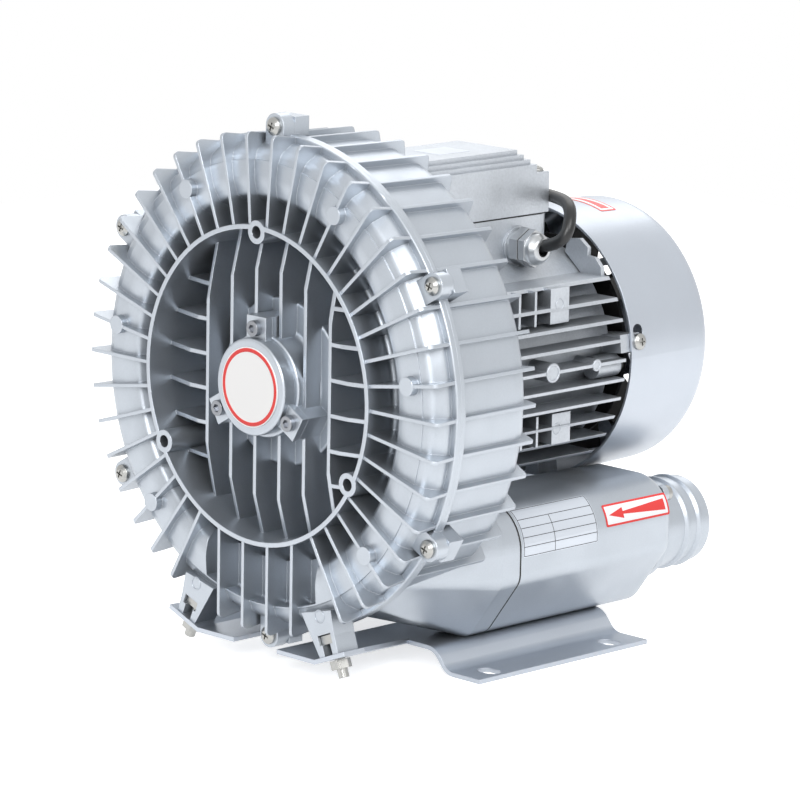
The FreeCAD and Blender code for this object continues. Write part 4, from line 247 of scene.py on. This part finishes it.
def paints():
    """Every finish of the blower, by the record's slot."""
    look = bpy.context.scene.blower_finish
    rows = {
        # Columns: colour, metallic, roughness, grain, depth, mottle, spread, edge radius (also sets
        # the painted edge highlight), coat, painted crevice shade.
        "silver_paint": (look.paint, 0.85, 0.38, 1300.0, 0.00003, 0.05, 0.05, 0.0007, 0.0, 0.6),
        "silver_cast": (look.casting, 0.8, 0.44, 700.0, 0.00016, 0.09, 0.07, 0.0005, 0.0, 0.6),
        "silver_sheet": (look.sheet, 0.85, 0.36, 1600.0, 0.00002, 0.025, 0.03, 0.0005, 0.0, 0.4),
        "cast_alloy": ((0.80, 0.81, 0.82), 1.0, 0.45, 900.0, 0.00008, 0.06, 0.08, 0.0004),
        "zinc_screw": ((0.66, 0.66, 0.65), 1.0, 0.30, 1500.0, 0.00001, 0.06, 0.06, 0.0002),
        "nickel": ((0.72, 0.73, 0.74), 1.0, 0.33, 1500.0, 0.00001, 0.04, 0.05, 0.0004),
        "dark_steel": ((0.55, 0.56, 0.58), 1.0, 0.35, 1500.0, 0.00001, 0.08, 0.08, 0.0002),
        "ground_steel": ((0.75, 0.76, 0.78), 1.0, 0.25, 2000.0, 0.00001, 0.03, 0.05),
        "bearing_steel": ((0.82, 0.83, 0.85), 1.0, 0.12, 2000.0, 0.000004, 0.02, 0.02),
        "core_steel": ((0.45, 0.46, 0.48), 1.0, 0.5, 1500.0, 0.00004, 0.08, 0.08),
        "copper_wire": ((0.78, 0.45, 0.28), 1.0, 0.35, 800.0, 0.0001, 0.08, 0.05),
        "brass_stud": ((0.85, 0.70, 0.38), 1.0, 0.3, 1500.0, 0.00001, 0.05, 0.05),
        "badge_plate": ((0.95, 0.95, 0.95), 0.0, 0.32, 2000.0, 0.000006, 0.01, 0.03, 0.0, 0.3),
        "seal_rubber": ((0.07, 0.07, 0.07), 0.0, 0.6, 1200.0, 0.00004, 0.10, 0.08),
        "cable_rubber": ((0.10, 0.105, 0.11), 0.0, 0.38, 1400.0, 0.00003, 0.10, 0.08),
        "black_plastic": ((0.09, 0.09, 0.09), 0.0, 0.5, 1500.0, 0.00003, 0.08, 0.06),
        "gasket_sheet": ((0.14, 0.14, 0.14), 0.0, 0.7, 900.0, 0.00006, 0.12, 0.08),
        "foam": ((0.30, 0.31, 0.32), 0.0, 0.92, 450.0, 0.0006, 0.15, 0.05),
        "sticker_red": (look.red, 0.0, 0.38, 2200.0, 0.000006, 0.03, 0.04, 0.0, 0.2),
        "sticker_white": ((0.94, 0.94, 0.95), 0.0, 0.38, 2200.0, 0.000006, 0.01, 0.04, 0.0, 0.2),
        "label_foil": ((0.82, 0.845, 0.88), 0.5, 0.34, 2200.0, 0.000008, 0.02, 0.04),
        "label_ink": ((0.16, 0.17, 0.19), 0.0, 0.5, 2200.0, 0.000004, 0.05, 0.04),
    }
    return {name: finish_of(name, *row) for name, row in rows.items()}


# The CAD nodes that look better in another finish than their slot's
OTHER_FINISH = {"gland_washer": "nickel", "gland_nut": "nickel", "gland_body": "nickel"}


class BLOWER_OT_paint(bpy.types.Operator):
    """Gives each CAD piece the finish of its slot"""
    bl_idname = "blower.paint"
    bl_label = "Paint the pieces"

    def execute(self, context):
        made = paints()
        for part in frame["record"]["subparts"]:
            name = part["node"]
            node = frame["nodes"][name]
            node.data.materials.clear()
            node.data.materials.append(made[OTHER_FINISH.get(name, part["material_slot"])])
        return {"FINISHED"}


# Shapes

def patch(rows, columns, loop=False):
    """The quads of a grid of rows by columns points, joined round at the last if it loops."""
    down = np.arange(rows - 1)[:, None] * columns
    across = np.arange(columns if loop else columns - 1)[None, :]
    beside = (across + 1) % columns
    return np.stack([down + across, down + beside, down + columns + beside,
                     down + columns + across], -1).reshape(-1, 4).tolist()


def piece(name, parts, body="casing"):
    """One closed mesh of several parts, each an array of points with its faces and its material."""
    points, faces, picks, materials = [], [], [], []
    for part_points, part_faces, material in parts:
        offset = sum(len(block) for block in points)
        points.append(np.asarray(part_points, float).reshape(-1, 3))
        faces += [[index + offset for index in face] for face in part_faces]
        if material not in materials:
            materials.append(material)
        picks += [materials.index(material)] * len(part_faces)
    mesh = bpy.data.meshes.new(name)
    mesh.from_pydata(np.concatenate(points).tolist(), [], faces)
    for material in materials:
        mesh.materials.append(bpy.data.materials[material])
    mesh.polygons.foreach_set("material_index", picks)
    turned_out = bmesh.new()
    turned_out.from_mesh(mesh)
    bmesh.ops.recalc_face_normals(turned_out, faces=turned_out.faces)
    turned_out.to_mesh(mesh)
    turned_out.free()
    mesh.update()
    made = bpy.data.objects.new(name, mesh)
    bpy.context.scene.collection.objects.link(made)
    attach(made, body)
    return made


def slab(skin, along, across, low, high, material):
    """A thin closed slab on a curved skin.

    The grid of places on the skin is taken at a low and a high lift. Each row of the slab goes out
    over the top and back along the bottom, and the two end rows are closed with a face.
    """
    top = skin(along, across, high)
    bottom = skin(along, across, low)[:, ::-1]
    rows = np.concatenate([top, bottom], axis=1)
    count, width = rows.shape[:2]
    faces = patch(count, width, loop=True)
    faces.append(list(range(width)))
    faces.append(list(range((count - 1) * width, count * width))[::-1])
    return rows.reshape(-1, 3), faces, material


def box_on(skin, u0, u1, v0, v1, low, high, material, step=1.0):
    """A slab over a plain rectangle of the skin, in cells of about one step."""
    u = np.linspace(u0, u1, max(2, int(round(abs(u1 - u0) / step)) + 1))
    v = np.linspace(v0, v1, max(2, int(round(abs(v1 - v0) / step)) + 1))
    along, across = np.meshgrid(u, v, indexing="ij")
    return slab(skin, along, across, low, high, material)


def rounded_on(skin, u0, u1, v0, v1, radius, low, high, material):
    """A slab over a rectangle with round corners.

    Near either end the half height is less by the radius minus the height of a circle there.
    """
    ends = np.linspace(0.0, radius, 7)
    u = np.concatenate([u0 + ends, np.linspace(u0 + radius, u1 - radius, 32)[1:-1],
                        u1 - ends[::-1]])
    gap = np.clip(radius - np.minimum(u - u0, u1 - u), 0.0, radius)
    loss = radius - np.sqrt(radius ** 2 - gap ** 2)
    half = (v1 - v0) / 2 - loss
    share = np.linspace(-1.0, 1.0, 13)
    along = np.repeat(u[:, None], len(share), axis=1)
    across = (v0 + v1) / 2 + half[:, None] * share[None, :]
    return slab(skin, along, across, low, high, material)


def arrow_on(skin, tip, tail, middle, head, head_half, neck_half, tail_half, low, high, material):
    """A slab in the shape of an arrow.

    The half width grows from nothing at the tip to the head's, drops to the neck's at one place,
    and then grows in line to the tail's.
    """
    u = np.concatenate([np.linspace(tip, head, 8), np.linspace(head, tail, 24)])
    half = np.concatenate([np.linspace(0.05, head_half, 8), np.linspace(neck_half, tail_half, 24)])
    u[7] -= 0.01
    share = np.linspace(-1.0, 1.0, 9)
    along = np.repeat(u[:, None], len(share), axis=1)
    across = middle + half[:, None] * share[None, :]
    return slab(skin, along, across, low, high, material)


def hoop(centre, axis, outer, width, height, material, turns=64):
    """A raised ring round a centre: a low arch carried once round an axis, closed underneath.

    Its points stand at the centre, plus the radius along two lines square to the axis, plus the
    lift along the axis.
    """
    axis = np.array(axis, float)
    first = np.array([0.0, 0.0, 1.0])
    second = np.cross(axis, first)
    angle = np.linspace(0.0, 2 * math.pi, turns, endpoint=False)
    arch = np.linspace(0.0, math.pi, 7)
    radius = np.concatenate([outer - width / 2 + width / 2 * np.cos(arch),
                             [outer - width, outer]])
    lift = np.concatenate([height * np.sin(arch), [-0.1, -0.1]])
    spread = np.cos(angle)[:, None] * first + np.sin(angle)[:, None] * second
    points = (np.array(centre, float) + radius[None, :, None] * spread[:, None, :]
              + lift[None, :, None] * axis)
    rows = np.concatenate([points, points[:1]], axis=0)
    faces = patch(turns + 1, len(radius), loop=True)
    faces = [[index % (turns * len(radius)) for index in face] for face in faces]
    return to_frame(rows[:-1]), faces, material


def to_frame(points):
    """Points of the casing drawing in millimetres, moved to the floor and turned into metres."""
    return (points + np.array([0.0, -SLOT_CENTRE_Y, AXIS_HEIGHT])) * MM


# Skins: a place on a surface of the casing, lifted off it by some thousandths of a metre

def silencer_skin(y, run, lift):
    """The right silencer from its flat top, over the round shoulder and down the side.

    Along the run the normal turns from up to outwards as the run over the shoulder's radius, and
    then the side goes straight down.
    """
    radius, centre_x, centre_z = 24.0, 68.4, -90.8
    turn = np.clip(run / radius, 0.0, math.pi / 2)
    down = np.maximum(run - radius * math.pi / 2, 0.0)
    x = centre_x + (radius + lift) * np.sin(turn)
    z = centre_z + (radius + lift) * np.cos(turn) - down
    return to_frame(np.stack([x, np.broadcast_to(y, x.shape), z], -1))


def cowl_skin(run, y, lift):
    """The cowl's wall: the run goes round it from the right-hand side, over the top.

    The radius falls in line from the front rim to the rear, and the angle is the run over it.
    """
    radius = COWL_FRONT_R - COWL_REAR_LOSS * (y - COWL_FRONT_Y) / COWL_LENGTH
    angle = run / COWL_MEAN_R
    return to_frame(np.stack([(radius + lift) * np.cos(angle), np.broadcast_to(y, run.shape),
                              (radius + lift) * np.sin(angle)], -1))


def lid_skin(x, y, lift):
    """The flat top of the terminal box lid."""
    return to_frame(np.stack([x, y, LID_TOP_Z + lift + 0.0 * x], -1))


# The mains lead: the same points as the tube of the part

LEAD_ROUTE = [
    (22.0, 156.6, 62.0), (64.0, 156.6, 62.0), (62.0, 168.0, 87.0), (24.0, 189.5, 86.5),
    (-22.0, 191.0, 86.0), (-66.0, 189.0, 76.0), (-95.0, 186.0, 36.0), (-101.0, 184.0, -18.0),
    (-108.0, 178.0, -72.0), (-112.0, 174.0, -112.0), (-120.2, 156.0, -134.2),
    (-140.0, 144.6, -134.2),
]
TAIL_ROUTE = [
    (-172.8, 224.1, -147.0), (-150.0, 232.6, -150.5), (-130.0, 244.5, -143.4),
    (-108.0, 262.0, -143.4),
]
COIL_CENTRE = (-156.0, 178.0)
COIL_START = math.radians(-64.4)
COIL_LAST_PART = 0.516


def coil_turns(radius, turns):
    """Turns of the coil, wound clockwise: two beside each other, and then two below them.

    The share of a turn wound so far gives the angle. The offset from the coil's radius and the
    height follow it between the places where the lead changes over to the next turn.
    """
    total = turns + COIL_LAST_PART
    wound = np.linspace(0.0, total, int(total * 14) + 1)[1:-1]
    offset = np.interp(wound, [0.0, 0.5, 0.9, 1.2, 2.9, 3.2, total - 0.25, total],
                       [0.0, 3.6, 3.6, -3.6, -3.6, 3.6, 3.6, 9.0])
    height = np.interp(wound, [0.0, 0.15, 0.5, 1.95, 2.2, total - 0.25, total],
                       [-134.2, -136.2, -144.3, -144.3, -151.3, -151.3, -148.0])
    angle = COIL_START - 2 * math.pi * wound
    x = COIL_CENTRE[0] + (radius + offset) * np.cos(angle)
    y = COIL_CENTRE[1] + (radius + offset) * np.sin(angle)
    return [tuple(point) for point in np.stack([x, y, height], 1).tolist()]


class BLOWER_OT_mains_lead(bpy.types.Operator):
    """The black mains lead from the gland to the plug, coiled behind the blower"""
    bl_idname = "blower.mains_lead"
    bl_label = "Mains lead"

    def execute(self, context):
        size = context.scene.blower_lead
        points = LEAD_ROUTE + coil_turns(size.coil_radius / MM, size.turns) + TAIL_ROUTE
        curve = bpy.data.curves.new("mains_lead", "CURVE")
        curve.dimensions = "3D"
        spline = curve.splines.new("NURBS")
        spline.points.add(len(points) - 1)
        for point, place in zip(spline.points, points):
            point.co = (*at(*place), 1.0)
        spline.order_u = 3
        spline.use_endpoint_u = True
        spline.resolution_u = 10
        lead = bpy.data.objects.new("mains_lead", curve)
        context.scene.collection.objects.link(lead)
        line = bpy.data.meshes.new_from_object(lead)
        bpy.data.meshes.remove(line)
        curve.bevel_depth = size.diameter / 2
        curve.bevel_resolution = 6
        curve.use_fill_caps = True
        curve.materials.append(bpy.data.materials["cable_rubber"])
        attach(lead, "casing")
        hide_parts("mains_cable", "mains_cable_coil")
        return {"FINISHED"}


class BLOWER_OT_badge(bpy.types.Operator):
    """The red ring round the bare badge on the bearing cap"""
    bl_idname = "blower.badge"
    bl_label = "Badge ring"

    def execute(self, context):
        low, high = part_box("badge_plate")
        outer = (high.x - low.x) / 2 / MM - 0.6
        front = low.y / MM + SLOT_CENTRE_Y
        piece("badge_ring", [hoop((0.0, front, 0.0), (0, -1, 0), outer, 2.1, 0.22, "sticker_red",
                                  turns=96)])
        return {"FINISHED"}


class BLOWER_OT_stickers(bpy.types.Operator):
    """The red arrows on the right silencer and on top of the cowl, and the lid's bare patch"""
    bl_idname = "blower.stickers"
    bl_label = "Arrow stickers"

    def execute(self, context):
        marks = context.scene.blower_marks
        length, height = marks.arrow_length / MM, marks.arrow_height / MM
        cowl_start = COWL_MEAN_R * math.radians(72.0)
        for name, skin, start, low in (("silencer_arrow", silencer_skin, 168.0, 21.7),
                                       ("cowl_arrow", cowl_skin, cowl_start, 231.3)):
            def laid(u, v, lift, skin=skin, start=start, low=low, flip=name == "cowl_arrow"):
                if flip:
                    return skin(start + length - u, low + height - v, lift)
                return skin(start + u, low + v, lift)

            piece(name, [
                rounded_on(laid, 0.0, length, 0.0, height, 1.2, 0.02, 0.14, "sticker_red"),
                rounded_on(laid, 1.2, length - 1.2, 1.2, height - 1.2, 0.6, 0.13, 0.17,
                           "sticker_white"),
                arrow_on(laid, 3.4, length - 3.0, height / 2, 14.6, 3.1, 0.8, 3.2, 0.16, 0.20,
                         "sticker_red"),
            ])
        piece("lid_patch", [rounded_on(lid_skin, -10.0, 10.0, 115.5, 139.5, 0.8, -0.02, 0.12,
                                       "label_foil")])
        return {"FINISHED"}


class BLOWER_OT_label(bpy.types.Operator):
    """The rating label on the right silencer: an empty ruled table"""
    bl_idname = "blower.label"
    bl_label = "Rating label"

    def execute(self, context):
        marks = context.scene.blower_marks
        length, height = marks.label_length / MM, marks.label_height / MM
        left, top, line = 103.0, 13.4, 0.36
        head = height * 0.25
        row = (height - head) / 4
        parts = [rounded_on(silencer_skin, left - 0.6, left + length + 0.6, top - 0.6,
                            top + height + 0.6, 0.8, 0.01, 0.07, "label_foil")]
        levels = [0.0] + [head + row * k for k in range(5)]
        for level in levels:
            parts.append(box_on(silencer_skin, left, left + length, top + level - line / 2,
                                top + level + line / 2, 0.06, 0.09, "label_ink"))
        for share, begin in ((0.0, 0.0), (0.42, head), (1.0, 0.0)):
            middle = left + length * share
            parts.append(box_on(silencer_skin, middle - line / 2, middle + line / 2, top + begin,
                                top + height, 0.06, 0.09, "label_ink"))
        piece("rating_label", parts)
        return {"FINISHED"}


class BLOWER_OT_casting_marks(bpy.types.Operator):
    """The ejector marks on the legs and the frame's pads, and the rings on the frame's bosses"""
    bl_idname = "blower.casting_marks"
    bl_label = "Casting marks"

    def execute(self, context):
        marks = []
        for x in (-48.6, 48.6):
            marks.append(hoop((x, LEG_FACE_Y, -117.0), (0, -1, 0), 3.8, 0.9, 0.35,
                              "silver_paint"))
        piece("leg_marks", marks)
        marks = []
        for side in (1, -1):
            for z in (35.5, -33.5):
                marks.append(hoop((PAD_FACE_X * side, 151.0, z), (side, 0, 0), 3.3, 0.8, 0.35,
                                  "silver_cast"))
            for y, outer in ((138.9, 5.3), (173.6, 3.3)):
                marks.append(hoop((BOSS_END_X * side, y, 0.0), (side, 0, 0), outer, 1.5, 0.5,
                                  "silver_cast"))
        piece("pad_marks", marks)
        return {"FINISHED"}


def background_rays(tree):
    """One for the rays that show the background: from the camera, off gloss and through glass."""
    path = tree.nodes.new("ShaderNodeLightPath")
    total = path.outputs["Is Camera Ray"]
    for name in ("Is Glossy Ray", "Is Transmission Ray"):
        either = tree.nodes.new("ShaderNodeMath")
        either.operation = "MAXIMUM"
        tree.links.new(total, either.inputs[0])
        tree.links.new(path.outputs[name], either.inputs[1])
        total = either.outputs[0]
    return total


class BLOWER_OT_stage(bpy.types.Operator):
    """Floor, backdrop, lights and camera"""
    bl_idname = "blower.stage"
    bl_label = "Studio"

    def execute(self, context):
        scene = context.scene
        stage = scene.blower_stage
        floor_mesh = bpy.data.meshes.new("floor")
        size = 1.3
        floor_mesh.from_pydata([(-size, -size, 0), (size, -size, 0), (size, size, 0),
                                (-size, size, 0)], [], [(0, 1, 2, 3)])
        floor = bpy.data.objects.new("floor", floor_mesh)
        scene.collection.objects.link(floor)
        white = bpy.data.materials.new("floor_white")
        white.use_nodes = True
        nodes, links = white.node_tree.nodes, white.node_tree.links
        shader = nodes["Principled BSDF"]
        shader.inputs["Base Color"].default_value = (0.80, 0.80, 0.80, 1.0)
        shader.inputs["Roughness"].default_value = 0.9
        shader.inputs["Specular IOR Level"].default_value = 0.0
        glow = nodes.new("ShaderNodeEmission")
        glow.inputs["Strength"].default_value = 0.62
        both = nodes.new("ShaderNodeAddShader")
        bounce = nodes.new("ShaderNodeBsdfDiffuse")
        bounce.inputs["Color"].default_value = (0.10, 0.09, 0.085, 1.0)
        mix = nodes.new("ShaderNodeMixShader")
        links.new(shader.outputs[0], both.inputs[0])
        links.new(glow.outputs[0], both.inputs[1])
        links.new(background_rays(white.node_tree), mix.inputs[0])
        links.new(bounce.outputs[0], mix.inputs[1])
        links.new(both.outputs[0], mix.inputs[2])
        links.new(mix.outputs[0], nodes["Material Output"].inputs["Surface"])
        floor_mesh.materials.append(white)
        world = bpy.data.worlds.new("studio")
        scene.world = world
        world.use_nodes = True
        tree = world.node_tree
        for node in list(tree.nodes):
            tree.nodes.remove(node)
        out = tree.nodes.new("ShaderNodeOutputWorld")
        mix = tree.nodes.new("ShaderNodeMixShader")
        light = tree.nodes.new("ShaderNodeBackground")
        seen = tree.nodes.new("ShaderNodeBackground")
        light.inputs["Color"].default_value = (1.0, 1.0, 1.0, 1.0)
        light.inputs["Strength"].default_value = stage.sky
        seen.inputs["Color"].default_value = (1.0, 1.0, 1.0, 1.0)
        seen.inputs["Strength"].default_value = 1.0
        tree.links.new(background_rays(tree), mix.inputs[0])
        tree.links.new(light.outputs[0], mix.inputs[1])
        tree.links.new(seen.outputs[0], mix.inputs[2])
        tree.links.new(mix.outputs[0], out.inputs["Surface"])
        lamps = [
            ("key", (2.1, -0.6, 1.9), 1.5, stage.key),
            ("fill", (1.3, -2.1, 1.3), 1.0, stage.fill),
            ("back", (-1.2, 1.4, 2.0), 1.8, stage.fill * 0.42),
        ]
        for name, place, size, power in lamps:
            lamp = bpy.data.lights.new(name, "AREA")
            lamp.size = size
            lamp.energy = power
            made = bpy.data.objects.new(name, lamp)
            made.location = place
            aim = Vector((0, 0, 0.15)) - Vector(place)
            made.rotation_euler = aim.to_track_quat("-Z", "Y").to_euler()
            scene.collection.objects.link(made)
        scene.view_settings.view_transform = "Standard"
        camera = bpy.data.cameras.new("camera")
        camera.sensor_width = 36.0
        camera.sensor_fit = "HORIZONTAL"
        camera.lens = stage.lens
        camera.clip_end = 50.0
        made = bpy.data.objects.new("camera", camera)
        right = Vector((0.70154, 0.71243, 0.01691))
        up = Vector((-0.15314, 0.12754, 0.97994))
        back = Vector((0.69598, -0.69006, 0.19858))
        turn = Matrix((right, up, back)).transposed().to_4x4()
        made.matrix_world = Matrix.Translation(Vector((1.74477, -1.75599, 0.63129))) @ turn
        scene.collection.objects.link(made)
        scene.camera = made
        return {"FINISHED"}


class BLOWER_PT_panel(bpy.types.Panel):
    """The blower's sizes, colours and pieces"""
    bl_idname = "BLOWER_PT_panel"
    bl_label = "Blower"
    bl_space_type = "VIEW_3D"
    bl_region_type = "UI"
    bl_category = "Blower"

    def draw(self, context):
        column = self.layout.column()
        for group in GROUPS:
            settings = getattr(context.scene, group)
            for name in GROUPS[group].__annotations__:
                column.prop(settings, name)
        for operator in OPERATORS:
            column.operator(operator.bl_idname)


OPERATORS = (BLOWER_OT_paint, BLOWER_OT_mains_lead, BLOWER_OT_badge, BLOWER_OT_stickers,
             BLOWER_OT_label, BLOWER_OT_casting_marks, BLOWER_OT_stage)
GROUPS = {"blower_finish": BlowerFinish, "blower_lead": BlowerLead, "blower_marks": BlowerMarks,
          "blower_stage": BlowerStage}
CLASSES = tuple(GROUPS.values()) + OPERATORS + (BLOWER_PT_panel,)


def register():
    for cls in CLASSES:
        bpy.utils.register_class(cls)
    for group in GROUPS:
        setattr(bpy.types.Scene, group, bpy.props.PointerProperty(type=GROUPS[group]))


def unregister():
    for group in GROUPS:
        delattr(bpy.types.Scene, group)
    for cls in reversed(CLASSES):
        bpy.utils.unregister_class(cls)


def main():
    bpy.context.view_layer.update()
    register()
    bpy.ops.blower.paint()
    bpy.ops.blower.mains_lead()
    bpy.ops.blower.badge()
    bpy.ops.blower.stickers()
    bpy.ops.blower.label()
    bpy.ops.blower.casting_marks()
    bpy.ops.blower.stage()


if __name__ == "__main__":
    main()
